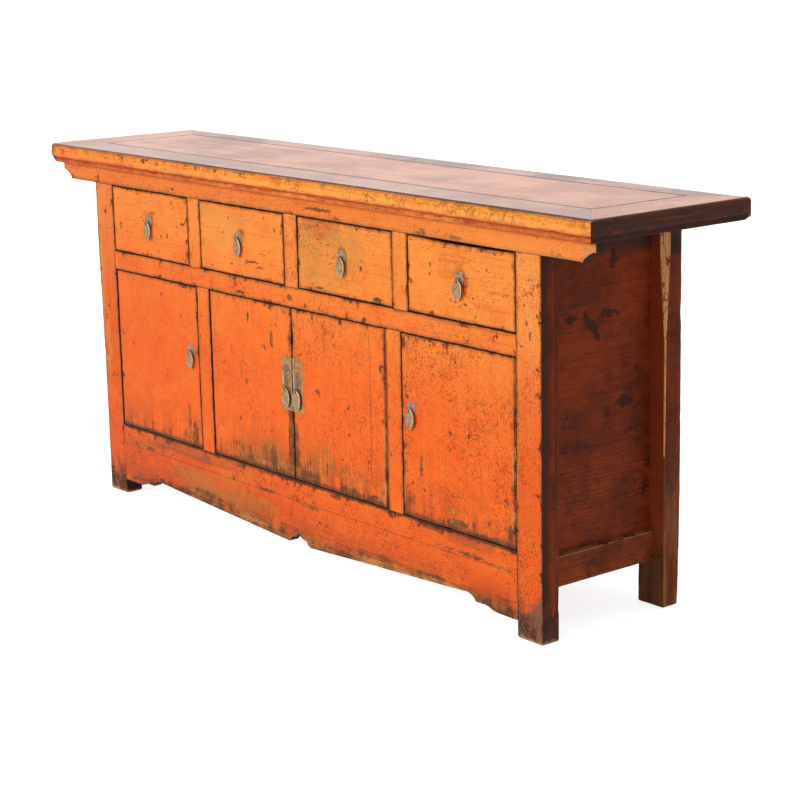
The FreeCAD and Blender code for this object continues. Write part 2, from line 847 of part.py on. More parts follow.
def build_runners():
    runner_z = (drawer_floor - d.runner_thickness, drawer_floor)
    y = (rail_back_face, back_rail_front)
    solids = []
    for middle in drawer_stile_middles:
        wide = stile_half + d.runner_ledge
        solids.append(box("runner", (middle - wide, middle + wide), y, runner_z))
        solids.append(box("guide", (middle - stile_half, middle + stile_half),
                          (top_rail_back_face, back_rail_front),
                          (drawer_floor, drawer_floor + d.guide_height)))
    for side in SIDES.values():
        solids.append(box("end_runner", span(side, post_inner - d.runner_ledge, post_inner),
                          y, runner_z))
        solids.append(box("end_guide", span(side, post_inner, side_panel_inner),
                          (front_post_back, back_post_front),
                          (runner_z[0], drawer_floor + d.guide_height)))
    keep("drawer_runners", group("runner_set", solids))


# Drawers

def pull_hole(x, z):
    """The hole in wood for the shank of a pull."""
    return rod("pull_hole", "y", d.shank_radius + d.seat_gap,
               d.overrun + d.shank_length + d.seat_gap, x, front - d.overrun, z)


def drawer_place(number):
    """The low and high end of a drawer's opening along X."""
    left = drawer_pitch * number - post_inner
    return left, left + drawer_width


def pull_of_drawer(number):
    low, high = drawer_place(number)
    return (low + high) / 2, drawer_floor + d.drawer_pull_rise


drawer_front_back = front + d.drawer_front_thickness
drawer_end = back_rail_front - d.drawer_back_room
side_floor = drawer_floor + d.seat_gap
drawer_bottom_floor = side_floor + d.drawer_bottom_rise
drawer_bottom_top = drawer_bottom_floor + d.drawer_bottom_thickness


def build_drawer(number):
    name = f"drawer_{number + 1}"
    low, high = drawer_place(number)
    low = low + d.drawer_gap
    high = high - d.drawer_gap
    inner = (low + d.drawer_side_thickness, high - d.drawer_side_thickness)
    groove_x = (inner[0] - d.drawer_groove, inner[1] + d.drawer_groove)
    bottom_z = (drawer_bottom_floor, drawer_bottom_top)
    bottom_y = (drawer_front_back - d.drawer_groove, drawer_end)
    bottom = box(f"{name}_bottom", groove_x, bottom_y, bottom_z)

    face = box(f"{name}_face", (low, high), (front, drawer_front_back),
               (drawer_floor + d.drawer_gap, drawer_top - d.drawer_gap))
    x, z = pull_of_drawer(number)
    keep(f"{name}_front", cut(f"{name}_face_cut", face, [pull_hole(x, z), bottom]))

    side_z = (side_floor, side_floor + d.drawer_side_height)
    side_y = (drawer_front_back, drawer_end)
    left = cut(f"{name}_left", box("side", (low, inner[0]), side_y, side_z), [bottom])
    right = cut(f"{name}_right", box("side", (inner[1], high), side_y, side_z), [bottom])
    rear = box(f"{name}_rear", inner, (drawer_end - d.drawer_side_thickness, drawer_end),
               (drawer_bottom_top, side_z[1]))
    keep(f"{name}_box", group(f"{name}_box_set", [left, right, rear, bottom]))


def build_stops():
    """Blocks on the runners that stop each drawer flush with the frame."""
    stops = []
    y = (drawer_end, drawer_end + d.stop_depth)
    z = (drawer_floor, drawer_floor + d.guide_height)
    for number in range(4):
        low, high = drawer_place(number)
        stops.append(box("stop", (low, low + d.stop_width), y, z))
        stops.append(box("stop", (high - d.stop_width, high), y, z))
    keep("drawer_stops", group("stop_set", stops))


# Doors

def build_door(name):
    side, hinge_line, free_line = DOORS[name]
    axis_x, axis_y = pivot_of(name)
    free_x = free_line + d.door_gap * side
    door_back = front + d.door_thickness
    behind = d.door_thickness - d.pivot_setback
    front_reach = root(d.pivot_inset * d.pivot_inset - d.pivot_setback * d.pivot_setback)
    back_reach = root(d.pivot_inset * d.pivot_inset - behind * behind)
    round_edge = ("left", d.pivot_inset)
    if side < 0:
        corners = [(axis_x - front_reach, front), (free_x, front), (free_x, door_back),
                   (axis_x - back_reach, door_back, round_edge)]
    else:
        corners = [(free_x, front), (axis_x + front_reach, front, round_edge),
                   (axis_x + back_reach, door_back), (free_x, door_back)]
    low = door_floor + d.door_gap
    high = door_top - d.door_gap
    board = place(outline_body(f"door_{name}_board", "XY_Plane", corners, high - low), z=low)
    pin = rod(f"door_{name}_pin", "z", d.pin_radius,
              door_top - door_floor + d.pin_length * 2, axis_x, axis_y, door_floor - d.pin_length)
    solid = fuse(f"door_{name}_pinned", [board, pin])

    x, z = pull_of_door(name)
    tools = [pull_hole(x, z)]
    if name.startswith("centre"):
        tools += staple_legs(x, d.seat_gap)
    solid = cut(f"door_{name}_cut", solid, tools)

    near, far = sorted((hinge_line, free_line), key=size_value)
    batten_x = (near + d.door_batten_inset, far - d.door_batten_inset)
    batten_y = (door_back, door_back + d.door_batten_thickness)
    battens = [
        box("door_batten", batten_x, batten_y,
            (low + d.door_batten_margin, low + d.door_batten_margin + d.door_batten_width)),
        box("door_batten", batten_x, batten_y,
            (high - d.door_batten_margin - d.door_batten_width, high - d.door_batten_margin)),
    ]
    keep(f"door_{name}", group(f"door_{name}_set", [solid] + battens))


# Pulls: a plate, a ring on a shank, and a drop whose eye hangs on the ring

ring_out = d.ring_radius + d.wire_radius
ring_y = front - d.plate_thickness - d.seat_gap - ring_out
lock_plate_top = door_middle + d.lock_plate_lift
staple_top = lock_plate_top - d.staple_drop


def pull_of_door(name):
    """The middle of the ring of a door's pull."""
    side, _, free_line = DOORS[name]
    free_x = free_line + d.door_gap * side
    if name.startswith("centre"):
        return free_x + d.lock_plate_width / 2 * side, lock_plate_top - d.lock_ring_drop
    return free_x + d.door_pull_edge * side, door_middle + d.door_pull_lift


def ring(x, z):
    """The ring and the shank that holds it in the wood, as one bent wire."""
    loop = doc.addObject("Part::Torus", "ring_loop")
    loop.Placement = FreeCAD.Placement(FreeCAD.Vector(), AXIS_TURNS["x"])
    loop.setExpression("Radius1", str(d.ring_radius))
    loop.setExpression("Radius2", str(d.wire_radius))
    place(loop, x, ring_y, z)
    start = ring_y + d.ring_radius
    shank = rod("ring_shank", "y", d.shank_radius, front + d.shank_length - start, x, start, z)
    return fuse("ring", [loop, shank])


def shank_hole(x, z):
    return rod("plate_hole", "y", d.shank_radius + d.seat_gap,
               d.plate_thickness + d.overrun * 2, x, front - d.plate_thickness - d.overrun, z)


def build_escutcheon(name, x, z):
    """A thin oval plate with the ring through it."""
    oval = doc.addObject("Part::Ellipse", "oval")
    oval.setExpression("MajorRadius", str(d.escutcheon_height / 2))
    oval.setExpression("MinorRadius", str(d.escutcheon_width / 2))
    oval.Placement = FreeCAD.Placement(
        FreeCAD.Vector(), FreeCAD.Rotation(FreeCAD.Vector(0, 1, 0), -90)
        .multiply(FreeCAD.Rotation(FreeCAD.Vector(1, 0, 0), 90)))
    place(oval, x, front, z + d.escutcheon_rise)
    plate = doc.addObject("Part::Extrusion", "oval_plate")
    plate.Base = oval
    plate.DirMode = "Custom"
    plate.Dir = FreeCAD.Vector(0, -1, 0)
    plate.Solid = True
    plate.setExpression("LengthFwd", str(d.plate_thickness))
    pierced = cut("oval_pierced", plate, [shank_hole(x, z)])
    keep(name, group(f"{name}_set", [pierced, ring(x, z)]))


def build_drop(name, x, z, length):
    """A flat pointed drop that hangs from the bottom of the ring by its eye, with a little slack."""
    head_half = d.drop_head / 2
    tip_half = d.drop_tip / 2
    wide_half = d.drop_width / 2
    eye_z = -d.ring_radius - d.eye_slack
    head_z = eye_z + d.eye_drop - d.drop_head_radius + root(
        d.drop_head_radius * d.drop_head_radius - head_half * head_half)
    wide_z = head_z - d.drop_shoulder
    tip_z = eye_z + d.eye_drop - length
    corners = [
        (-head_half, head_z, ("left", d.drop_shoulder_radius)),
        (-wide_half, wide_z, ("left", d.drop_side_radius)),
        (-tip_half, tip_z, ("left", d.drop_tip_radius)),
        (tip_half, tip_z, ("left", d.drop_side_radius)),
        (wide_half, wide_z, ("left", d.drop_shoulder_radius)),
        (head_half, head_z, ("left", d.drop_head_radius)),
    ]
    plate = outline_body(f"{name}_plate", "XZ_Plane", corners, d.drop_thickness)
    place(plate, x, ring_y + d.drop_thickness / 2, z)
    eye = rod("eye", "y", d.eye_radius, d.drop_thickness + d.overrun * 2,
              x, ring_y - d.drop_thickness / 2 - d.overrun, z + eye_z)
    keep(name, cut(f"{name}_pierced", plate, [eye]))


def staple_legs(x, play):
    """The two legs of a lock staple, or with some play the mortises that take them."""
    legs = []
    leg_end = front + d.staple_leg_length
    for low in (staple_top - d.staple_height, staple_top - d.staple_bar):
        legs.append(box("staple_leg",
                        (x - d.staple_width / 2 - play, x + d.staple_width / 2 + play),
                        (front - d.plate_thickness - d.staple_reach, leg_end + play),
                        (low - play, low + d.staple_bar + play)))
    return legs


def build_lock_plate(name, door):
    """A plain rectangular plate with an upright staple above the ring of its drop."""
    side = DOORS[door][0]
    x, z = pull_of_door(door)
    half = d.lock_plate_width / 2
    plate = box(f"{name}_sheet", (x - half, x + half), (front - d.plate_thickness, front),
                (lock_plate_top - d.lock_plate_height, lock_plate_top))
    pierced = cut(f"{name}_pierced", plate, [shank_hole(x, z)] + staple_legs(x, d.seat_gap))
    staple_face = front - d.plate_thickness - d.staple_reach
    bar = box("staple_bar", (x - d.staple_width / 2, x + d.staple_width / 2),
              (staple_face, staple_face + d.staple_bar),
              (staple_top - d.staple_height, staple_top))
    staple = fuse(f"{name}_staple", [bar] + staple_legs(x, 0))
    keep(name, group(f"{name}_set", [pierced, staple, ring(x, z)]))


def build_pulls():
    for number in range(4):
        x, z = pull_of_drawer(number)
        build_escutcheon(f"drawer_{number + 1}_pull_plate", x, z)
        build_drop(f"drawer_{number + 1}_drop", x, z, d.drop_length)
    for door in ("left", "right"):
        x, z = pull_of_door(door)
        build_escutcheon(f"door_{door}_pull_plate", x, z)
        build_drop(f"door_{door}_drop", x, z, d.drop_length)
    for name in SIDES:
        x, z = pull_of_door(f"centre_{name}")
        build_lock_plate(f"lock_plate_{name}", f"centre_{name}")
        build_drop(f"lock_drop_{name}", x, z, d.lock_drop_length)


build_top()
build_posts()
build_front_rails()
build_apron()
build_uprights()
build_sides()
build_back()
build_bottom()
build_runners()
for drawer in range(4):
    build_drawer(drawer)
build_stops()
for door_name in DOORS:
    build_door(door_name)
build_pulls()
doc.recompute()

faults = [item.Label for item in doc.Objects if "Invalid" in item.State or "Error" in item.State]
faults += [item.Label for item in PIECES if item.Shape.isNull() or not item.Shape.isValid()
           or not item.Shape.Solids]
if faults:
    raise RuntimeError("these objects failed: " + ", ".join(faults))

os.makedirs("parts", exist_ok=True)
for item in PIECES:
    item.Shape.exportStep(f"parts/{item.Label}.step")
    print(f"{item.Label}: {len(item.Shape.Solids)} solids, {item.Shape.Volume / 1000:.1f} cm3")
print(f"{len(PIECES)} nodes")
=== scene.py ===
import json
import math

import bpy
from mathutils import Matrix, Vector, noise


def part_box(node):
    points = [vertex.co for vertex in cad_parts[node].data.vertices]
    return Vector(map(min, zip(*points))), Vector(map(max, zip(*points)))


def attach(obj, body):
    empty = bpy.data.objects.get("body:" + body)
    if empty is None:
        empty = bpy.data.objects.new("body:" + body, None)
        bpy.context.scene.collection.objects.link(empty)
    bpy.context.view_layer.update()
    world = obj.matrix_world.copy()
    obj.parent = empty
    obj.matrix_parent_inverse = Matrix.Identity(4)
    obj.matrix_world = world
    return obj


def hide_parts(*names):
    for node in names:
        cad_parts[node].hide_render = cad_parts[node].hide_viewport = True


# A lacquered sideboard: worn boards, doors, drawers and pulls, built round the frame's solids.
# Metres, in the frame of the part: +X right, -Y front, +Z up. Rows of marks and stains are in
# millimetres on the face that they lie on.

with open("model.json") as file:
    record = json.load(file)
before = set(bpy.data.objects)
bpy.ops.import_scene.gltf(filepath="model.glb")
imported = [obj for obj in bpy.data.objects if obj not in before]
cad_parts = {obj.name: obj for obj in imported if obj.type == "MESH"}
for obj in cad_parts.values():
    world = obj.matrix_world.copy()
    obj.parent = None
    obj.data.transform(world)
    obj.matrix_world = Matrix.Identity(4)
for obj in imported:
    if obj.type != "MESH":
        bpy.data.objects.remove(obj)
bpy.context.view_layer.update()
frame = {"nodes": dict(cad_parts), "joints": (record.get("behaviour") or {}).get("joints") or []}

MM = 0.001
# The boards' warp is one field of noise, which this makes the same in every run
WARP_SEED = 1
noise.seed_set(WARP_SEED)

# Planes and levels of the case, read from the frame
case_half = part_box("post_front_right")[1].x
post_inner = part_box("post_front_right")[0].x
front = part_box("post_front_right")[0].y
front_post_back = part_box("post_front_right")[1].y
back_post_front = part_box("post_back_right")[0].y
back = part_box("post_back_right")[1].y
case_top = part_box("post_back_right")[1].z
top_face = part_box("top_frame_front")[1].z
half_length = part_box("top_frame_front")[1].x
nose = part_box("top_frame_front")[0].y
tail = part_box("top_frame_back")[1].y
rail_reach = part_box("top_rail_front")[1].x
drawer_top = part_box("top_rail_front")[0].z
drawer_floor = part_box("mid_rail_front")[1].z
door_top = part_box("mid_rail_front")[0].z
door_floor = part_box("bottom_rail_front")[1].z
rail_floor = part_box("bottom_rail_front")[0].z
side_rail_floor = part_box("side_bottom_rail_right")[0].z
side_rail_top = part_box("side_bottom_rail_right")[1].z


# Mesh making

EASE_LINES = [0, 0.4 * MM, 1 * MM, 2 * MM, 4 * MM, 8 * MM, 16 * MM, 28 * MM]
CLOSEST_LINES = 0.05 * MM
EASE_REACH = 12 * MM
RIM_WIDTH = 28 * MM
SEAM_WIDTH = 4 * MM
JOINT_EASE = 0.35 * MM
FACES = {"x": (0, -1), "X": (0, 1), "y": (1, -1), "Y": (1, 1), "z": (2, -1), "Z": (2, 1)}


def grid_lines(low, high, step, extra=()):
    """Lines across a board: close together at both ends and near any extra line, else a step apart."""
    middle = (low + high) / 2
    marks = {low + gap for gap in EASE_LINES if low + gap < middle}
    marks |= {high - gap for gap in EASE_LINES if high - gap > middle}
    marks |= {line for line in extra if low < line < high}
    marks = sorted(marks)
    lines = []
    for start, end in zip(marks, marks[1:]):
        if end - start < CLOSEST_LINES:
            continue
        parts = max(1, math.ceil((end - start) / step - 0.01))
        lines += [start + (end - start) * part / parts for part in range(parts)]
    return lines + [high]


def wear_radius(place, ease, offset):
    """How far an edge is rounded at a place: uneven along its length, with a few deeper knocks."""
    slow = noise.noise(place * 7 + offset)
    quick = noise.noise(place * 55 + offset)
    knock = max(0, noise.noise(place * 21 - offset) - 0.32)
    return ease * max(0.4, 1 + 0.6 * slow + 0.5 * quick + 5 * knock)


def eased(place, low, high, ease, tight, offset):
    """A place of a box moved onto its rounded edges, and how far it is from a rim and a joint."""
    sides = [-1 if place[a] - low[a] < high[a] - place[a] else 1 for a in range(3)]
    gaps = [min(place[a] - low[a], high[a] - place[a]) for a in range(3)]
    rim = RIM_WIDTH
    seam = SEAM_WIDTH
    for a, b in ((0, 1), (1, 2), (0, 2)):
        is_joint = (a, sides[a]) in tight or (b, sides[b]) in tight
        farther = max(gaps[a], gaps[b])
        if is_joint:
            seam = min(seam, farther)
        else:
            rim = min(rim, farther)
        if farther > EASE_REACH:
            continue
        radius = JOINT_EASE if is_joint else wear_radius(place, ease, offset)
        reach_a = radius - gaps[a]
        reach_b = radius - gaps[b]
        reach = math.hypot(reach_a, reach_b)
        if reach_a > 0 and reach_b > 0 and reach > radius:
            gaps[a] = radius - reach_a * radius / reach
            gaps[b] = radius - reach_b * radius / reach
    for a in range(3):
        place[a] = low[a] + gaps[a] if sides[a] < 0 else high[a] - gaps[a]
    return place, rim, seam


class Board:
    """The mesh of boards: boxes on grid lines, with worn edges, a bend and edge masks."""

    def __init__(self):
        self.points = []
        self.quads = []
        self.rims = []
        self.seams = []
        self.bares = []

    def add(self, low, high, ease=1.2 * MM, joints="", step=14 * MM, lines=None, bend=None,
            bare=None, seed=0):
        """Adds a box. joints names the faces whose edges are tight: x y z low sides, X Y Z high."""
        lines = lines or {}
        grids = [grid_lines(low[axis], high[axis], step, lines.get("xyz"[axis], ()))
                 for axis in range(3)]
        tight = {FACES[name] for name in joints}
        offset = Vector((seed * 3.7, seed * 1.3, seed * 2.1))
        for i, j, k in self.add_walls([len(grid) - 1 for grid in grids]):
            place = Vector((grids[0][i], grids[1][j], grids[2][k]))
            place, rim, seam = eased(place, low, high, ease, tight, offset)
            if bend:
                place = bend(place)
            self.points.append(place)
            self.rims.append(1 - rim / RIM_WIDTH)
            self.seams.append(1 - seam / SEAM_WIDTH)
            self.bares.append(bare(place) if bare else 0)
        return self

    def add_walls(self, last):
        """Adds the quads of a box's six walls, and gives the grid places that they use, in order."""
        spots = {}
        base = len(self.points)
        for axis in range(3):
            u = (axis + 1) % 3
            v = (axis + 2) % 3
            for side in (0, last[axis]):
                for i in range(last[u]):
                    for j in range(last[v]):
                        ring = []
                        for di, dj in ((0, 0), (1, 0), (1, 1), (0, 1)):
                            index = [0, 0, 0]
                            index[axis] = side
                            index[u] = i + di
                            index[v] = j + dj
                            ring.append(base + spots.setdefault(tuple(index), len(spots)))
                        self.quads.append(ring if side else ring[::-1])
        return spots

    def make(self, name, material, body, slot, nodes=()):
        """Turns the boards added so far into one piece that rides on a body."""
        mesh = bpy.data.meshes.new(name)
        mesh.from_pydata(self.points, [], self.quads)
        for label, values in (("rim", self.rims), ("seam", self.seams), ("bare", self.bares)):
            mesh.attributes.new(label, "FLOAT", "POINT").data.foreach_set("value", values)
        mesh.polygons.foreach_set("use_smooth", [True] * len(mesh.polygons))
        mesh.materials.append(material)
        mesh.update()
        piece = bpy.data.objects.new(name, mesh)
        bpy.context.scene.collection.objects.link(piece)
        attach(piece, body)
        if nodes:
            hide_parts(*nodes)


class Round(Board):
    """Turned, bent and domed forms for the metalwork and the door pins."""

    def quad_strip(self, rows, rims=()):
        """Joins rows of points, given in order, with quads. rims is the edge mask of each row."""
        base = len(self.points)
        count = len(rows[0])
        for row, rim in zip(rows, rims or [0] * len(rows)):
            self.points += row
            self.rims += [rim] * count
            self.seams += [0] * count
            self.bares += [0] * count
        for r in range(len(rows) - 1):
            for c in range(count):
                after = (c + 1) % count
                self.quads.append([base + r * count + c, base + r * count + after,
                                   base + (r + 1) * count + after, base + (r + 1) * count + c])

    def turned(self, start, axis, profile, steps):
        """A form turned about an axis: profile gives how far along and how wide."""
        u, v = {"y": (2, 0), "z": (0, 1)}[axis]
        rows = []
        for along, radius in profile:
            row = []
            for step in range(steps):
                angle = math.tau * step / steps
                place = Vector(start)
                place["xyz".index(axis)] += along
                place[u] += radius * math.cos(angle)
                place[v] += radius * math.sin(angle)
                row.append(place)
            rows.append(row)
        self.quad_strip(rows)

    def loop(self, centre, radius, wire, steps=36, sides=12):
        """A ring of wire in the plane of Y and Z."""
        rows = []
        for step in range(steps + 1):
            angle = math.tau * step / steps
            middle = Vector((0, math.cos(angle), math.sin(angle)))
            row = []
            for part in range(sides):
                turn = math.tau * part / sides
                row.append(Vector(centre) + middle * (radius + wire * math.cos(turn))
                           + Vector((wire * math.sin(turn), 0, 0)))
            rows.append(row)
        self.quad_strip(rows)


def warped(place):
    """The slight unevenness of old boards, one smooth field for the whole piece."""
    return place + noise.noise_vector(place * 2.3) * 0.5 * MM


def seen(node, **stretch):
    """A node's box, with the stretch that shows given for some axes."""
    low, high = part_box(node)
    for axis, (start, end) in stretch.items():
        setattr(low, axis, start)
        setattr(high, axis, end)
    return low, high


def lay_board(name, node, material, slot="front_lacquer", stretch=None, **shape):
    """One board of the case, in the place of its node."""
    low, high = seen(node, **(stretch or {}))
    Board().add(low, high, **shape).make(name, MATERIALS[material], "carcase", slot, [node])


def solids_of(node):
    """The boxes of the separate solids of a node."""
    mesh = frame["nodes"][node].data
    keys = {}
    owner = []
    for vertex in mesh.vertices:
        key = tuple(round(value, 5) for value in vertex.co)
        owner.append(keys.setdefault(key, len(keys)))
    leader = list(range(len(keys)))

    def find(item):
        while leader[item] != item:
            leader[item] = leader[leader[item]]
            item = leader[item]
        return item

    for polygon in mesh.polygons:
        first = find(owner[polygon.vertices[0]])
        for vertex in polygon.vertices[1:]:
            leader[find(owner[vertex])] = first
    groups = {}
    for key, index in keys.items():
        groups.setdefault(find(index), []).append(Vector(key))
    return [(Vector([min(p[a] for p in points) for a in range(3)]),
             Vector([max(p[a] for p in points) for a in range(3)])) for points in groups.values()]


def arc_height(x, start, end, radius, centre_above):
    """The height at x of the short arc from start to end, each an (x, z) pair."""
    chord_x = end[0] - start[0]
    chord_z = end[1] - start[1]
    chord = math.hypot(chord_x, chord_z)
    offset = math.sqrt(radius ** 2 - (chord / 2) ** 2)
    turn = 1 if centre_above else -1
    centre_x = (start[0] + end[0]) / 2 - chord_z / chord * offset * turn
    centre_z = (start[1] + end[1]) / 2 + chord_x / chord * offset * turn
    rise = math.sqrt(max(0, radius ** 2 - (x - centre_x) ** 2))
    return centre_z - rise if centre_above else centre_z + rise


def between(x, start, end):
    """The height at x on the straight line from start to end."""
    return start[1] + (end[1] - start[1]) * (x - start[0]) / (end[0] - start[0])


def fade(gap, reach):
    """1 where there is no gap, and 0 from reach on."""
    return max(0, 1 - gap / reach)


def round_inset(gap, radius):
    """How far a rounded edge lies inside its square one, at a gap from the corner."""
    short = radius - min(radius, max(0, gap))
    return radius - math.sqrt(radius ** 2 - short ** 2)


# Shader maths

def colour(red, green, blue):
    """A linear colour from the 0 to 255 values that a screen shows."""
    return tuple(((value / 255) / 12.92 if value <= 10 else ((value / 255 + 0.055) / 1.055) ** 2.4)
                 for value in (red, green, blue)) + (1,)


class Wire:
    """A socket of a material, so that sums on it read as plain maths."""

    def __init__(self, finish, socket):
        self.finish = finish
        self.socket = socket

    def __add__(self, other):
        return self.finish.maths("ADD", self, other)

    __radd__ = __add__

    def __sub__(self, other):
        return self.finish.maths("SUBTRACT", self, other)

    def __rsub__(self, other):
        return self.finish.maths("SUBTRACT", other, self)

    def __mul__(self, other):
        return self.finish.maths("MULTIPLY", self, other)

    __rmul__ = __mul__

    def __truediv__(self, other):
        return self.finish.maths("DIVIDE", self, other)

    def clamped(self):
        return self.finish.maths("ADD", self, 0, clamp=True)


class Nodes:
    """A node tree, which any node is added to by one method."""

    def __init__(self, tree):
        self.tree = tree
        self.tree.nodes.clear()

    def add(self, kind, settings, inputs, output=0):
        """One node: its settings first, then its sockets' values or links."""
        node = self.tree.nodes.new(kind)
        for key, value in settings.items():
            setattr(node, key, value)
        for key, value in inputs.items():
            if isinstance(value, Wire):
                self.tree.links.new(value.socket, node.inputs[key])
            else:
                node.inputs[key].default_value = value
        return Wire(self, node.outputs[output]) if len(node.outputs) else None

    def maths(self, operation, first, second, clamp=False):
        return self.add("ShaderNodeMath", {"operation": operation, "use_clamp": clamp},
                        {0: first, 1: second})

    def larger(self, first, second):
        return self.maths("MAXIMUM", first, second)


class Finish(Nodes):
    """A node material, built from the surface's own coordinates."""

    def __init__(self, name):
        self.material = bpy.data.materials.new(name)
        self.material.use_nodes = True
        super().__init__(self.material.node_tree)
        self.place = self.add("ShaderNodeTexCoord", {}, {}, "Object")
        self.across = self.axis(self.place, "X")
        self.depth = self.axis(self.place, "Y")
        self.height = self.axis(self.place, "Z")
        self.rim = self.mask("rim")
        self.seam = self.mask("seam")
        self.bare = self.mask("bare")

    def mask(self, name):
        """A value that the mesh holds at each of its points."""
        return self.add("ShaderNodeAttribute", {"attribute_name": name}, {}, "Fac")

    def axis(self, place, name):
        return self.add("ShaderNodeSeparateXYZ", {}, {0: place}, name)

    def facing(self, name):
        """How far the surface faces along an axis, from -1 to 1."""
        return self.axis(self.add("ShaderNodeTexCoord", {}, {}, "Normal"), name)

    def forward(self, start, end):
        """1 on the faces that look forward, with a soft step between two slants."""
        return self.smooth(-1 * self.facing("Y"), start, end)

    def upward(self, start, end):
        """1 on the faces that look up, with a soft step between two slants."""
        return self.smooth(self.facing("Z"), start, end)

    def vectors(self, operation, inputs, output="Vector"):
        return self.add("ShaderNodeVectorMath", {"operation": operation}, inputs, output)

    def stretched(self, place, scales, shift=(0, 0, 0)):
        """A place scaled by its own factor along each axis."""
        return self.vectors("MULTIPLY_ADD", {0: place, 1: scales, 2: shift})

    def noise(self, place, scale, detail=2, roughness=0.5, output="Fac"):
        return self.add("ShaderNodeTexNoise", {}, {
            "Vector": place, "Scale": scale, "Detail": detail, "Roughness": roughness}, output)

    def streaks(self, scales, detail, roughness=0.7):
        """Noise with a scale of its own along each axis."""
        return self.noise(self.stretched(self.place, scales), 1, detail, roughness)

    def jogged(self, place, scale, amount):
        """A place pushed about by noise, so that what is drawn there isn't regular."""
        push = self.vectors("SUBTRACT", {0: self.noise(place, scale, output="Color"),
                                         1: (0.5, 0.5, 0.5)})
        return self.vectors("MULTIPLY_ADD", {0: push, 1: (amount, amount, amount), 2: place})

    def smooth(self, value, start, end):
        """0 at start and 1 at end, with a soft step between."""
        return self.add("ShaderNodeMapRange", {"interpolation_type": "SMOOTHSTEP"},
                        {"Value": value, "From Min": start, "From Max": end})

    def mix(self, share, first, second):
        """Two colours mixed by a share."""
        return self.add("ShaderNodeMix", {"data_type": "RGBA"}, {0: share, 6: first, 7: second}, 2)

    def layered(self, shade, *layers):
        """A shade under layers, laid on in order: how much each covers, and its colour."""
        for share, tone in layers:
            shade = self.mix(share, shade, tone)
        return shade

    def cracks(self, place, scale, width):
        """Thin lines round the cells of a crazed coat."""
        edge = self.add("ShaderNodeTexVoronoi", {"feature": "DISTANCE_TO_EDGE"},
                        {"Vector": place, "Scale": scale}, "Distance")
        return 1 - self.smooth(edge, 0, width)

    def distance(self, place, scales, shift):
        """How far a stretched place lies from zero."""
        return self.vectors("LENGTH", {0: self.stretched(place, scales, shift)}, "Value")

    def blot(self, place, centre, reach):
        """1 at a centre and 0 past a reach, given along each axis."""
        shares = tuple(1 / size for size in reach)
        shift = tuple(-middle / size for middle, size in zip(centre, reach))
        return 1 - self.smooth(self.distance(place, shares, shift), 0.45, 1)

    def front_blot(self, place, x, z, wide, tall):
        """A blot on the front: its middle, half width and half height in millimetres."""
        return self.blot(place, (x * MM, front, z * MM), (wide * MM, 0.2, tall * MM))

    def done(self, base, roughness, relief, depth, strength, **uniform):
        """Closes the material. relief is the height that the bump of a depth and strength shows."""
        normal = self.add("ShaderNodeBump", {}, {"Height": relief, "Distance": depth,
                                                 "Strength": strength}, "Normal")
        shader = {"Base Color": base, "Roughness": roughness, "Normal": normal}
        shader.update({key.replace("_", " "): value for key, value in uniform.items()})
        surface = self.add("ShaderNodeBsdfPrincipled", {}, shader)
        self.add("ShaderNodeOutputMaterial", {}, {"Surface": surface})
        return self.material


# Tones of the lacquer, its stains and the wood under it

SPECK = colour(124, 46, 16)
DIRT = colour(56, 32, 20)
BARE_LIGHT = colour(190, 116, 60)
BARE_DARK = colour(122, 74, 44)
# Tones of the faces round a front: dirty wood, darkened as painted shade in the gaps
EDGE_DIRT_AND_SHADE_LIGHT = colour(92, 56, 34)
EDGE_DIRT_AND_SHADE_DARK = colour(44, 27, 19)
STAIN_BLACK = colour(44, 26, 22)
OLIVE = colour(208, 138, 62)
OLIVE_BROWN = colour(186, 110, 46)
PALE_OLIVE = colour(232, 147, 66)
RAIL_BROWN = colour(158, 80, 42)
DEEP_BROWN = colour(96, 52, 30)
RED_BROWN = colour(180, 88, 44)
# Old red lacquer, also the painted shadow beside a drop
OLD_RED_AND_DROP_SHADOW = colour(196, 56, 18)
RUST = colour(150, 62, 26)
LOW_ORANGE = colour(243, 106, 30)
HIGH_ORANGE = colour(246, 146, 60)
RAIL_ORANGE = colour(241, 134, 54)
APRON_RED = colour(210, 80, 22)
LOW_RAIL_ORANGE = colour(236, 102, 32)
TOP_TONE = colour(220, 122, 52)
TOP_DARK = colour(184, 106, 60)
OLD_WOOD = (colour(150, 106, 68), colour(112, 74, 44))

# The levels that a coat's tone goes from low to high between
FRONT_LEVELS = (0.37, 0.8)
LOW_LEVELS = (0.03, 0.2)

LACQUER_SHINE = 0.1
STAIN_SHINE = 0.08
TOP_COAT = 0.1
EDGE_COAT = 0.38

# Which way the grain runs: short along it, long across
STROKES = {"x": (0.5, 1, 1), "z": (0.9, 1, 0.6)}
GRAINS = {"x": (5, 190, 190), "y": (190, 5, 190), "z": (190, 190, 5)}
FIGURES = {"x": (1.2, 26, 26), "y": (26, 1.2, 26), "z": (26, 26, 1.2)}


def grain_noise(f, grain, share, scale, detail, roughness):
    """Noise along the grain, at a share of its fineness."""
    scales = tuple(value * share for value in GRAINS[grain])
    return f.noise(f.stretched(f.place, scales), scale, detail, roughness)


# Lacquer

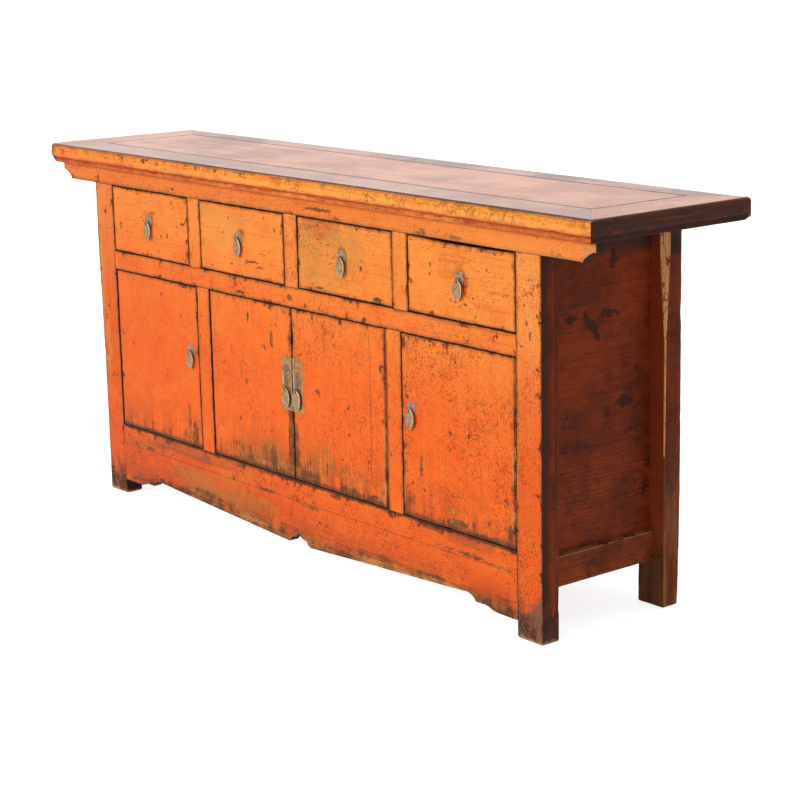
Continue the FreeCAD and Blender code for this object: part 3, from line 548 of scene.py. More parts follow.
class Grounds:
    """The noises that the layers of one lacquered face share. lift moves some of them."""

    def __init__(self, f, grain, lift):
        self.place = f.jogged(f.place, 90, 0.0035)
        self.knocked_place = f.jogged(f.place, 90, 0.012)
        self.cloud = f.noise(f.place, 5.5, 4, 0.6)
        self.patch = f.noise(f.stretched(f.place, (1, 1, 1), (lift, 0, lift)), 17, 5, 0.62)
        self.ragged = f.noise(f.stretched(self.place, (1, 1, 1), (lift, lift, 0)), 34, 7, 0.68)
        self.fine = f.noise(self.place, 210, 4, 0.65)
        self.fibre = grain_noise(f, grain, 1, 1.6, 4, 0.6)
        self.streak = grain_noise(f, grain, 0.32, 1.5, 5, 0.66)

    def frayed(self, value, ragged, fine):
        """A value made uneven by the ragged and the fine noise."""
        return value + (self.ragged - 0.5) * ragged + (self.fine - 0.5) * fine


def fresh_coat(f, n, low_tone, high_tone, levels):
    """The coat: lighter towards the top and the right, partly as painted light, cloudy, with the grain
    showing faintly.
    """
    # The tone rises with height and a little towards the right, partly as painted light
    tone = f.smooth(f.height + (n.cloud - 0.5) * 0.25 + f.across * 0.06, *levels)
    # Painted shade: the left part of the coat is darker, most where its tone is low
    left = 1 - f.smooth(f.across, -0.8, 0.2)
    return f.layered(
        f.mix(tone, low_tone, high_tone),
        (left * (1 - tone * 0.7) * 0.3, colour(214, 84, 26)),
        (f.smooth(n.patch, 0.52, 0.68) * 0.28, colour(222, 74, 20)),
        ((1 - f.smooth(n.patch, 0.34, 0.47)) * 0.16, colour(246, 150, 58)),
        (f.smooth(n.fibre, 0.48, 0.68) * 0.4, colour(196, 86, 36)),
        (f.smooth(n.streak, 0.52, 0.7) * 0.2, colour(206, 84, 34)))


def stained_coat(f, n, coat, stains, splits):
    """A coat with its stains and upright cracks."""
    soft_place = f.jogged(f.place, 22, 0.05)
    broken = f.smooth(n.streak + (n.fine - 0.5) * 0.7, 0.42, 0.6) * 0.5
    broken = f.smooth(n.patch, 0.35, 0.6) * 0.35 + broken + 0.2
    for x, z, wide, tall, tone in stains:
        coat = f.mix(f.front_blot(soft_place, x, z, wide, tall) * broken, coat, tone)
    for x, z, tall in splits:
        aside = f.maths("ABSOLUTE", f.across - x * MM + (n.cloud - 0.5) * 0.02, 0)
        along = f.maths("ABSOLUTE", f.height - z * MM + (n.streak - 0.5) * 0.08, 0)
        split = (1 - f.smooth(aside, 0.5 * MM, 1.5 * MM)) * f.smooth(n.fine, 0.34, 0.5)
        split = split * (1 - f.smooth(along, tall * 0.8 * MM, tall * MM))
        coat = f.mix(split * 0.85, coat, DIRT)
    return coat


def crazed_coat(f, n, coat, grain, craze, lift):
    """A coat with crazing, specks and pits, in drifts, and how strong the crazing and pits are."""
    drift = f.smooth(f.noise(f.place, 9, 3, 0.6), 0.38, 0.62)
    flat_place = f.stretched(n.place, STROKES[grain], (lift, 0, 0))
    lines = f.cracks(flat_place, 170, 0.1) * f.smooth(f.noise(f.place, 75, 2), 0.5, 0.58)
    specks = f.smooth(f.noise(flat_place, 340, 2), 0.61, 0.65)
    pits = f.smooth(f.noise(flat_place, 230, 2), 0.68, 0.71)
    pepper = f.smooth(f.noise(flat_place, 420, 3, 0.6), 0.54, 0.64)
    crazing = f.larger(lines * 0.8, specks) * (drift * 0.85 + 0.15) * craze
    coat = f.layered(
        coat,
        ((pepper * 0.42 * craze).clamped(), colour(168, 62, 20)),
        (crazing.clamped() * 0.9, SPECK),
        (pits * (drift * 0.8 + 0.2), DIRT))
    return coat, crazing, pits


def scuffed_coat(f, n, coat, wear, heavy, foot, foot_reach):
    """A coat smeared brown towards its foot, and where it is worn through there, along the grain."""
    low_part = (1 - (f.height - foot) / foot_reach).clamped()
    level = low_part * (heavy * 0.5 + 0.92) + (n.streak - 0.5) * 1.4 + (n.fibre - 0.5) * 1.4
    level = n.frayed(level, 2, 0)
    scuffs = f.smooth(level, 0.92 - 0.06 * wear, 1.16 - 0.06 * wear) * 0.72
    smear = low_part * f.smooth(n.patch + (n.streak - 0.5) * 0.9 + heavy * 0.1, 0.38, 0.6)
    return f.mix(smear * 0.45 * wear, coat, colour(146, 72, 32)), scuffs


def chips_of(f, n, wear, heavy, rim_wear, marks):
    """Chips to the wood, most of them at the rim or on a mark, and the darker ground round them."""
    level = n.ragged + f.rim * (heavy * rim_wear + 0.07 * wear) - 0.03
    chips = f.smooth(level, 0.665 - 0.02 * wear, 0.69 - 0.02 * wear)
    halo = f.smooth(level, 0.63 - 0.02 * wear, 0.67 - 0.02 * wear)
    for row in marks:
        mark = n.frayed(f.front_blot(n.knocked_place, *row), 1.6, 0.8) + (n.streak - 0.5) * 0.8
        chips = f.larger(chips, f.smooth(mark, 0.45, 0.7))
        halo = f.larger(halo, f.smooth(mark, 0.25, 0.6))
    return chips, halo


def bleached(f, n, shade, pale):
    """A shade with its stretches of old bare wood, pale and mottled."""
    if not pale:
        return shade
    light_part = 0
    for row in pale:
        mark = n.frayed(f.front_blot(n.knocked_place, *row), 1.2, 0.8)
        light_part = f.larger(light_part, f.smooth(mark, 0.35, 0.65))
    mottled = f.smooth(n.frayed(n.fibre, 1.4, 0.6), 0.42, 0.66)
    tone = f.mix(mottled * 0.8, colour(196, 132, 68), colour(134, 78, 42))
    return f.mix(light_part * (0.8 - mottled * 0.15), shade, tone)


def lacquer_layers(f, low_tone, high_tone, grain, wear, craze, levels=FRONT_LEVELS, foot=0,
                   foot_reach=0.13, stains=(), marks=(), pale=(), worn=(), splits=(),
                   rim_wear=0.05, rim_dirt=0.92, sill=0, lift=0):
    """Colour, roughness and height of worn lacquer over wood.

    Above a height foot, as far as foot_reach, the coat is scuffed most, and worn names stretches
    (x, half width) where the foot and the rim are worn more. stains, marks and pale ones are
    (x, z, half width, half height), with a tone for each stain, and splits are upright cracks
    (x, z, half height). sill is how high dirt lies on the lower edge, and rim_dirt where it
    starts near the other edges.
    """
    n = Grounds(f, grain, lift)
    heavy = 0
    for x, wide in worn:
        heavy = f.larger(heavy, f.blot(f.place, (x * MM, front, 0), (wide * MM, 0.5, 20)))
    coat = stained_coat(f, n, fresh_coat(f, n, low_tone, high_tone, levels), stains, splits)
    coat, crazing, pits = crazed_coat(f, n, coat, grain, craze, lift)
    coat, scuffs = scuffed_coat(f, n, coat, wear, heavy, foot, foot_reach)
    chips, halo = chips_of(f, n, wear, heavy, rim_wear, marks)
    bared = f.larger(chips, scuffs).clamped()
    wood = f.layered(
        f.mix(f.smooth(n.frayed(n.ragged, 0, 0.4), 0.36, 0.62), BARE_LIGHT, BARE_DARK),
        (f.smooth(n.fibre, 0.5, 0.66) * 0.4, DIRT),
        (f.smooth(n.frayed(n.streak, 0.5, 0), 0.44, 0.6) * 0.6, colour(70, 44, 32)))

    # The rim itself: rubbed through, then dirty in the last millimetre or two
    rubbed = f.smooth(n.frayed(f.rim, 0.7, 0.25), 0.66, 0.94)
    dirty = f.smooth(n.frayed(f.rim, 0.45, 0.14), rim_dirt, rim_dirt + 0.07)
    if sill:
        above = n.frayed(f.height - foot, 0.03, 0.01)
        dirty = f.larger(dirty, (1 - f.smooth(above, sill * 0.3, sill)) * 0.85)
    seam_dirt = f.smooth(n.frayed(f.seam, 1.6, 0.8), 0.7, 0.95)
    shade = f.layered(
        coat,
        (rubbed * (0.35 + 0.3 * wear), colour(158, 88, 42)),
        (halo * 0.6, SPECK),
        (bared * 0.92, wood))
    shade = f.layered(
        bleached(f, n, shade, pale),
        (seam_dirt * 0.6, colour(96, 40, 20)),
        (dirty * 0.75, DIRT))
    rough = 0.42 + n.fine * 0.12 + bared * 0.2
    relief = n.fibre * 0.15 - crazing * 0.4 - pits * 0.6 - bared * 0.9 - seam_dirt * 0.4
    return shade, rough, relief


def front_lacquer(name, low_tone, high_tone, grain, **layers):
    """Orange lacquer on the front face of a piece, and dirty wood painted darker as shade on the faces
    round it.
    """
    f = Finish(name)
    shade, rough, relief = lacquer_layers(f, low_tone, high_tone, grain, **layers)
    inside = f.mix(f.smooth(f.streaks((26, 26, 2), 6, 0.66), 0.4, 0.62), colour(132, 92, 58),
                   colour(90, 60, 38))
    # Painted shade: the faces round the front are dirty wood made darker still, for the shade in the
    # gaps
    edges = f.mix(f.smooth(f.noise(f.place, 40, 6, 0.7), 0.45, 0.65), EDGE_DIRT_AND_SHADE_DARK, EDGE_DIRT_AND_SHADE_LIGHT)
    edges = f.mix(f.smooth(f.facing("Y"), 0.4, 0.8) * 0.85, edges, inside)
    shade = f.mix(f.forward(0.25, 0.55), edges, shade)
    return f.done(shade, rough, relief, 0.6 * MM, 0.8, Specular_IOR_Level=LACQUER_SHINE)


def rail_finish(name):
    """The long rail under the top: lacquer in front, and dark stain and painted shade on its shaped
    end faces.
    """
    f = Finish(name)
    shade, rough, relief = lacquer_layers(f, LOW_ORANGE, RAIL_ORANGE, "x", wear=1.1, craze=0.8,
                                          marks=LONG_RAIL_MARKS)
    ragged = f.noise(f.place, 60, 4) - 0.5
    far_end = f.smooth(f.across + ragged * 0.04, rail_reach - 44 * MM, rail_reach - 26 * MM)
    under = f.smooth(f.height + ragged * 0.005, case_top - 6 * MM, case_top - 1.5 * MM)
    # Painted light towards the right, a paler far end, and a painted shadow line just under the top
    shade = f.layered(
        shade,
        (f.smooth(f.across, 0.1, 0.8) * 0.4, colour(255, 158, 76)),
        (far_end * 0.6, colour(214, 146, 84)),
        (under * 0.75, colour(116, 52, 24)))
    # The faces that don't look forward are dark: stain and painted shade
    shade = f.mix(f.forward(0.25, 0.55), EDGE_DIRT_AND_SHADE_DARK, shade)
    return f.done(shade, rough, relief, 0.6 * MM, 0.8, Specular_IOR_Level=LACQUER_SHINE)


# Polish

def top_layers(f, tone, dark_tone, grain):
    """Colour, roughness and height of the rubbed and polished top."""
    place = f.jogged(f.place, 60, 0.006)
    fibre = grain_noise(f, grain, 1, 1.1, 4, 0.6)
    figure = f.noise(f.stretched(place, FIGURES[grain]), 1, 5, 0.62)
    cloud = f.noise(f.place, 4.2, 5, 0.65)
    fine = f.noise(place, 190, 4, 0.65)
    ragged = f.noise(place, 34, 7, 0.68)
    specks = f.smooth(f.noise(place, 200, 2, 0.6), 0.6, 0.66) * f.smooth(cloud, 0.4, 0.6)
    half_grain = tuple(value * 0.5 for value in GRAINS[grain])
    scratches = f.smooth(f.noise(f.stretched(place, half_grain), 1.3, 3, 0.6), 0.66, 0.7)
    rim = f.smooth(f.rim + (fine - 0.5) * 0.12 + (ragged - 0.5) * 0.25, 0.86, 0.93)
    shade = f.layered(
        f.mix(f.smooth(cloud, 0.42, 0.6), tone, dark_tone),
        (f.smooth(figure, 0.48, 0.68) * 0.6, colour(140, 52, 28)),
        (f.smooth(f.noise(place, 11, 5, 0.6), 0.52, 0.7) * 0.35, colour(120, 96, 84)),
        (specks * 0.7, DIRT),
        (scratches * 0.6, colour(104, 44, 26)),
        (rim * 0.9, DIRT))
    rough = 0.14 + fine * 0.12 + scratches * 0.2 + f.smooth(cloud, 0.35, 0.7) * 0.1 + rim * 0.3
    return shade, rough, fibre * 0.25 - specks * 0.4 - scratches * 0.5 - rim * 0.5


def top_finish(name, tone, dark_tone):
    """A part of the top with nothing but polish on it."""
    f = Finish(name)
    shade, rough, relief = top_layers(f, tone, dark_tone, "x")
    return f.done(shade, rough, relief, 0.3 * MM, 0.5, Coat_Weight=TOP_COAT, Coat_Roughness=0.12)


def nose_finish(name):
    """The top's front member: orange on its moulded edge, brown and polished on its face."""
    f = Finish(name)
    edge = lacquer_layers(f, colour(232, 112, 30), colour(250, 150, 52), "x", wear=1.7, craze=1.3,
                          lift=0.9)
    face = top_layers(f, colour(194, 118, 60), colour(160, 102, 58), "x")
    up = f.upward(0.45, 0.75)
    side = 1 - up
    # Painted shade: the polished face is darker towards its left end
    face_tone = f.mix((1 - f.smooth(f.across, -0.9, -0.3)) * 0.5, face[0], colour(150, 84, 44))

    # The lower part of the bead is painted lighter as painted light, red below, the groove dark, and
    # the band mottled
    uneven = (f.streaks((14, 70, 70), 5) - 0.5) * 0.016
    level = f.height + uneven
    lower_bead_painted_light = 1 - f.smooth(level, top_face - 22 * MM, top_face - 12 * MM)
    lower_bead_light_tone = f.mix(f.smooth(f.across, -0.95, -0.1), colour(255, 128, 50), colour(255, 168, 84))
    upper_edge = f.smooth(level, top_face - 10 * MM, top_face - 3 * MM)
    red_part = 1 - f.smooth(level, top_face - 35 * MM, top_face - 25 * MM)
    band = 1 - f.smooth(level, case_top + 2 * MM, case_top + 8 * MM)
    right_end = f.smooth(f.across, 0.6, 0.9)
    redness = f.smooth(f.streaks((20, 60, 60), 6), 0.34, 0.56) * 0.55 + 0.35
    redness = redness * (1 - band * (0.5 - right_end * 0.5))
    groove = f.smooth(f.depth + uneven * 0.2, nose + 7.4 * MM, nose + 8.6 * MM)
    strokes = f.smooth(f.streaks((60, 300, 300), 4, 0.65), 0.58, 0.63)
    split = f.cracks(f.jogged(f.stretched(f.place, (1, 0.4, 0.5)), 30, 0.012), 48, 0.07)
    split = split * f.smooth(f.noise(f.place, 16, 3), 0.46, 0.58) * (1 - red_part)
    left_corner = 1 - f.smooth(f.across + uneven * 2, -0.968, -0.95)
    edge_layers = (
        (f.smooth(f.across, -0.6, 0.4) * 0.5, colour(232, 152, 52)),
        (lower_bead_painted_light * 0.55, lower_bead_light_tone),
        (upper_edge * 0.6, colour(140, 92, 54)),
        (redness * red_part, colour(190, 56, 22)),
        (strokes * (red_part * 0.5 + 0.35), colour(96, 40, 18)),
        (groove * 0.35, colour(136, 50, 24)),
        (f.smooth(f.streaks((16, 40, 40), 6), 0.5, 0.62) * 0.35, colour(206, 84, 24)),
        (split * 0.6, colour(122, 70, 28)),
        (f.smooth(f.streaks((30, 90, 90), 6, 0.72), 0.6, 0.66) * 0.7, colour(84, 44, 22)),
        (left_corner * 0.75, colour(104, 66, 44)),
    )
    shade = f.layered(edge[0], *((share * side, tone) for share, tone in edge_layers))
    shade = f.mix(up, shade, face_tone)
    rough = edge[1] * side + face[1] * up
    relief = edge[2] * side + face[2] * up
    return f.done(shade, rough, relief, 0.5 * MM, 0.7, Coat_Weight=up * EDGE_COAT,
                  Coat_Roughness=0.14, Specular_IOR_Level=LACQUER_SHINE)


# Stain

RING_WIDTH = 9 * MM
RING_SLANT = 0.13
RING_HEART = (0, 0.02, 0.29)


def growth_rings(f, place):
    """Arched grain: growth rings cut on a slant, round a heart that nears the face at one place."""
    scales = (0, RING_SLANT, 1)
    shift = tuple(-scale * heart for scale, heart in zip(scales, RING_HEART))
    length = f.distance(place, scales, shift)
    drift = f.noise(f.place, 12, 3, 0.6) * 6
    rings = f.smooth(f.maths("SINE", length * (math.tau / RING_WIDTH) + drift, 0), 0.2, 0.9)
    return rings * ((1 - f.smooth(length, 0.04, 0.08)) * 0.27 + 0.08)


def stain_layers(f, tone, grain, black, marks=()):
    """Colour, roughness and height of dark red-brown stain with black patches.

    marks are (y, z, half width, half height) in millimetres on the right side.
    """
    place = f.jogged(f.place, 50, 0.008)
    fibre = grain_noise(f, grain, 1, 1.2, 5, 0.62)
    figure = f.noise(f.stretched(place, FIGURES[grain]), 1, 6, 0.66)
    patch = f.noise(f.place, 8, 6, 0.62)
    fine = f.noise(place, 170, 4, 0.65)
    knots = f.noise(f.stretched(place, (1, 0.8, 1.2)), 27, 8, 0.8)
    drift = f.smooth(f.noise(f.place, 5.5, 5, 0.62), 0.42, 0.62)
    # Painted shadow of the top's overhang: the stain is darker from just under the top upwards
    overhang_shadow = f.smooth(f.height + (patch - 0.5) * 0.07, 0.747, 0.779)
    black_part = f.smooth(patch, 0.66 - 0.2 * black, 0.76 - 0.16 * black)
    specks = f.smooth(f.noise(place, 190, 3, 0.6), 0.61, 0.68)
    shade = f.layered(
        tone,
        (f.smooth(figure, 0.36, 0.66) * 0.7, colour(172, 70, 26)),
        (f.smooth(knots, 0.45, 0.66) * (drift * 0.45 + 0.35), colour(58, 25, 17)),
        (drift * 0.5, colour(66, 28, 17)),
        (f.smooth(fibre, 0.5, 0.68) * 0.45, colour(60, 26, 15)),
        (overhang_shadow * 0.93, colour(70, 47, 41)),
        (black_part * 0.85, STAIN_BLACK),
        (specks * 0.6, STAIN_BLACK))
    marked_place = f.jogged(f.place, 50, 0.03)
    for y, z, wide, tall in marks:
        mark = f.blot(marked_place, (case_half, y * MM, z * MM), (0.3, wide * MM, tall * MM))
        mark = mark + (knots - 0.5) * 1.6 + (fine - 0.5) * 1.2
        shade = f.mix(f.smooth(mark, 0.25, 0.85) * 0.8, shade, STAIN_BLACK)
    scratches = f.smooth(f.noise(f.stretched(place, (40, 40, 300)), 1, 3, 0.6), 0.66, 0.7)
    rim = f.smooth(f.rim + (figure - 0.5) * 0.5, 0.84, 0.96)
    shade = f.layered(
        shade,
        (scratches * 0.4, colour(176, 84, 36)),
        (growth_rings(f, place), colour(62, 24, 15)),
        (rim * 0.5, colour(140, 82, 40)))
    return shade, 0.4 + fine * 0.16, fibre * 0.3 - specks * 0.3


def end_finish(name):
    """An end member of the top: polished on its face, black-brown stain on its edge."""
    f = Finish(name)
    shade, rough, relief = stain_layers(f, colour(88, 44, 32), "y", 0.4)
    face = top_layers(f, TOP_TONE, TOP_DARK, "y")
    up = f.upward(0.5, 0.8)
    under = 1 - f.smooth(f.height, case_top + 10 * MM, case_top + 17 * MM)
    shade = f.layered(
        shade,
        (f.smooth(f.streaks((60, 9, 120), 6), 0.5, 0.62) * 0.5, colour(128, 60, 32)),
        (f.smooth(f.streaks((60, 22, 60), 6, 0.72), 0.5, 0.66) * 0.55, colour(140, 62, 34)),
        (under * 0.6, colour(50, 38, 36)),
        (up, face[0]))
    rough = (rough + under * 0.35) * (1 - up) + face[1] * up
    return f.done(shade, rough, relief, 0.4 * MM, 0.6, Coat_Weight=up * EDGE_COAT,
                  Coat_Roughness=0.14, Specular_IOR_Level=STAIN_SHINE)


def side_finish(name, tone, marks=()):
    """A panel or rail of a side: stain, painted shade on its upward faces, and pale on the low rail's
    edge.
    """
    f = Finish(name)
    shade, rough, relief = stain_layers(f, tone, "y", 0.4, marks)
    rubbed = f.smooth(f.height, side_rail_top - 3.5 * MM, side_rail_top - 2 * MM)
    rubbed = rubbed * (1 - f.smooth(f.height, side_rail_top - 0.2 * MM, side_rail_top + 0.2 * MM))
    rubbed = rubbed * f.smooth(f.noise(f.place, 30, 4), 0.36, 0.5)
    shade = f.layered(
        shade,
        # Painted shade on the faces that look up
        (f.upward(0.4, 0.8) * 0.8, colour(58, 42, 38)),
        (rubbed * 0.65, colour(190, 130, 88)))
    return f.done(shade, rough, relief, 0.5 * MM, 0.6, Specular_IOR_Level=STAIN_SHINE)


def wane_finish(name):
    """A back post: stain, and pale cracked wood where the corner was never square."""
    f = Finish(name)
    shade, rough, relief = stain_layers(f, colour(126, 50, 24), "z", 0.5)
    fibre = grain_noise(f, "z", 1, 1.2, 5, 0.62)
    fine = f.noise(f.place, 170, 4, 0.65)
    bare = f.smooth(f.bare + (fine - 0.5) * 0.3, 0.3, 0.5)
    crack = f.noise(f.stretched(f.jogged(f.place, 40, 0.01), (90, 90, 34)), 1, 3, 0.6)
    split = f.cracks(f.jogged(f.stretched(f.place, (1, 1, 0.4)), 30, 0.02), 55, 0.07)
    split = split * f.smooth(f.noise(f.place, 22, 3), 0.45, 0.55)
    crack = f.larger(f.smooth(crack, 0.58, 0.62), split)
    pale = f.mix(f.smooth(fibre, 0.4, 0.62), colour(255, 204, 138), colour(246, 168, 104))
    pale = f.mix(crack * 0.85, pale, colour(70, 38, 24))

    # The front is painted lighter as painted light and is darker below the low rail, and the low part
    # is paler, most on the right face as painted light
    forward = f.forward(0.6, 0.9)
    foot_mottle = f.streaks((40, 40, 14), 5)
    foot = 1 - f.smooth(f.height + (foot_mottle - 0.5) * 0.08, side_rail_floor, side_rail_top)
    foot_tone = f.mix(f.smooth(foot_mottle, 0.45, 0.6), colour(96, 52, 30), colour(44, 28, 22))
    low_part = 1 - f.smooth(f.height + (fine - 0.5) * 0.1, 0.02, 0.42)
    low_part = low_part * f.smooth(f.streaks((60, 60, 7), 6), 0.36, 0.6)
    sunny = f.smooth(f.facing("X"), 0.4, 0.8)
    shade = f.layered(
        shade,
        # Painted light on the faces that look forward, then darker below the low rail
        (forward * 0.5, colour(180, 76, 42)),
        (foot * forward * 0.85, foot_tone),
        (f.smooth(f.bare, 0.02, 0.2) * 0.8, colour(206, 84, 36)),
        (bare, pale),
        # Paler low part, with painted light on the faces that look right
        (low_part * (0.25 + sunny * 0.5), colour(178, 118, 66)))
    return f.done(shade, rough + bare * 0.25, relief - crack * bare * 0.8, 0.5 * MM, 0.6,
                  Specular_IOR_Level=STAIN_SHINE)


def post_finish(name, tones, lift, craze, stains=()):
    """A front post: lacquer on its front face, stain on the others, grey-brown at the foot."""
    f = Finish(name)
    edge = lacquer_layers(f, *tones, "z", wear=1.2, craze=craze, lift=lift, foot=0.03,
                          foot_reach=0.09, marks=POST_MARKS, pale=POST_PALE, stains=stains)
    sides = stain_layers(f, colour(104, 40, 20), "z", 0.5)
    forward = f.forward(0.5, 0.8)
    ragged = f.streaks((30, 30, 9), 5, 0.65)
    fine = f.noise(f.place, 170, 4, 0.65)
    # A dark band of spilt stain runs down beside the front edge, and a redder one beyond it
    behind = f.depth + (ragged - 0.5) * 0.014
    band = 1 - f.smooth(behind, front + 14 * MM, front + 22 * MM)
    red_band = f.smooth(behind, front + 24 * MM, front + 28 * MM)
    red_band = red_band * (1 - f.smooth(behind, front + 33 * MM, front + 38 * MM))
    foot = f.height + (ragged - 0.5) * 0.24 + (fine - 0.5) * 0.05 - f.rim * 0.03
    foot = 1 - f.smooth(foot, 0.05, 0.07)
    foot_tone = f.layered(
        f.mix(f.smooth(ragged, 0.4, 0.56), colour(122, 86, 66), colour(56, 40, 38)),
        (f.smooth(fine, 0.5, 0.62) * 0.5, colour(166, 96, 66)),
        ((1 - forward) * 0.6, colour(46, 30, 28)))
    tip = 1 - f.smooth(f.height + (fine - 0.5) * 0.03 + (ragged - 0.5) * 0.02, 0.004, 0.01)
    shade = f.layered(
        sides[0],
        (band * (0.5 + f.smooth(fine, 0.36, 0.6) * 0.4), colour(60, 33, 26)),
        (red_band * f.smooth(ragged, 0.35, 0.6) * 0.6, colour(158, 60, 26)),
        (forward, edge[0]),
        (foot * 0.9, foot_tone),
        (tip * 0.8, colour(190, 144, 96)))
    rough = edge[1] * forward + sides[1] * (1 - forward) + foot * 0.15
    relief = edge[2] * forward + sides[2] * (1 - forward) - foot * ragged * 0.6
    return f.done(shade, rough, relief, 0.6 * MM, 0.8, Specular_IOR_Level=STAIN_SHINE)


# Raw wood and metal

def raw_wood(name, grain):
    """Plain wood that was never lacquered, browned by age."""
    f = Finish(name)
    fibre = grain_noise(f, grain, 1, 1.3, 5, 0.65)
    figure = f.noise(f.stretched(f.jogged(f.place, 40, 0.01), FIGURES[grain]), 1, 5, 0.6)
    grime = f.smooth(f.noise(f.place, 9, 6, 0.7), 0.52, 0.72)
    rim = f.smooth(f.rim + (fibre - 0.5) * 0.3, 0.9, 0.98)
    tone, dark_tone = OLD_WOOD
    shade = f.layered(
        f.mix(f.smooth(figure, 0.3, 0.7), tone, dark_tone),
        (f.smooth(fibre, 0.45, 0.7) * 0.55, dark_tone),
        (grime * 0.5, colour(64, 46, 34)),
        (rim * 0.5, colour(60, 42, 30)))
    return f.done(shade, 0.68 + fibre * 0.18, fibre * 0.6 - grime * 0.2, 0.5 * MM, 0.8)


def metal_finish(name, tone, dull_tone, metallic, grime=()):
    """Old metal: brighter in patches, dull and spotted elsewhere, with a painted highlight on its rims
    that face right, and grime in places.
    """
    f = Finish(name)
    cloud = f.noise(f.place, 120, 5, 0.65)
    fine = f.noise(f.place, 900, 3, 0.6)
    dull = f.smooth(cloud, 0.4, 0.62)
    spots = f.smooth(fine, 0.6, 0.72)
    shade = f.layered(
        f.mix(dull, tone, dull_tone),
        (spots * 0.5, colour(70, 56, 42)),
        # Painted highlight on the rims that face right
        (f.rim * f.smooth(f.facing("X"), 0, 0.35) * 0.7, colour(226, 208, 176)))
    grimy_place = f.jogged(f.place, 90, 0.006)
    for row in grime:
        dirt = f.front_blot(grimy_place, *row) + (cloud - 0.5) * 1.2
        shade = f.mix(f.smooth(dirt, 0.2, 0.8) * 0.75, shade, colour(92, 76, 74))
    return f.done(shade, 0.36 + dull * 0.2 + spots * 0.1, fine * 0.3 - spots * 0.5, 0.1 * MM, 0.6,
                  Metallic=metallic)


# Chips, stains and pale stretches of single pieces, (x, z, half width, half height) on the front,
# with a tone for each stain

LONG_RAIL_MARKS = ((108, 812, 70, 5), (560, 800, 26, 5), (-470, 806, 10, 4))
MID_RAIL_MARKS = ((-200, 592, 20, 5), (-10, 604, 12, 12))
LOW_RAIL_MARKS = ((467, 176, 34, 9), (600, 142, 60, 5), (676, 137, 60, 4), (551, 184, 70, 5),
                  (-118, 135, 44, 6), (47, 128, 46, 5), (-640, 141, 60, 5), (-380, 70, 120, 14),
                  (-190, 56, 80, 16), (300, 46, 110, 10), (420, 56, 80, 13), (-150, 184, 60, 4))
LOW_RAIL_STAINS = (
    (-637, 139, 110, 24, colour(186, 84, 38)), (-330, 76, 190, 26, OLIVE_BROWN),
    (-420, 104, 150, 34, OLIVE_BROWN), (-190, 92, 150, 34, OLIVE_BROWN),
    (-330, 58, 210, 16, RAIL_BROWN), (-270, 132, 90, 18, OLIVE_BROWN),
    (600, 170, 110, 20, colour(176, 80, 36)), (390, 58, 150, 22, OLIVE_BROWN),
    (-430, 164, 280, 26, RAIL_BROWN), (-300, 185, 340, 13, DEEP_BROWN),
    (140, 185, 300, 11, DEEP_BROWN), (600, 185, 200, 10, DEEP_BROWN),
)
APRON_PALE = ((330, 48, 160, 16), (500, 56, 110, 13), (-180, 50, 80, 8))
# Where the apron's foot is worn more, (x, half width)
APRON_WORN = ((-400, 210), (-129, 150), (60, 120), (300, 170), (470, 130), (650, 100))
POST_PALE = ((742, 345, 5, 80),)
POST_MARKS = ((772, 655, 5, 9), (782, 630, 6, 14), (800, 672, 5, 6), (765, 690, 4, 4))
LEFT_POST_STAINS = ((-808, 600, 18, 230, OLIVE), (-790, 380, 12, 160, OLIVE))
# Dark blotches of the right panel, (y, z, half width, half height)
PANEL_MARKS = ((-30, 642, 13, 15), (-20, 629, 14, 15), (-9, 616, 14, 15), (2, 603, 13, 14),
               (-71, 645, 18, 12), (38, 645, 36, 10), (45, 756, 14, 32), (78, 455, 36, 17))
# Dirt round the staples of the lock plates
STAPLE_GRIME = ((-31, 412, 9, 30), (11, 412, 9, 30), (-29, 440, 14, 10), (15, 372, 16, 20))

LOW_COAT = {"wear": 1.6, "craze": 1.2, "levels": LOW_LEVELS, "marks": LOW_RAIL_MARKS,
            "stains": LOW_RAIL_STAINS}

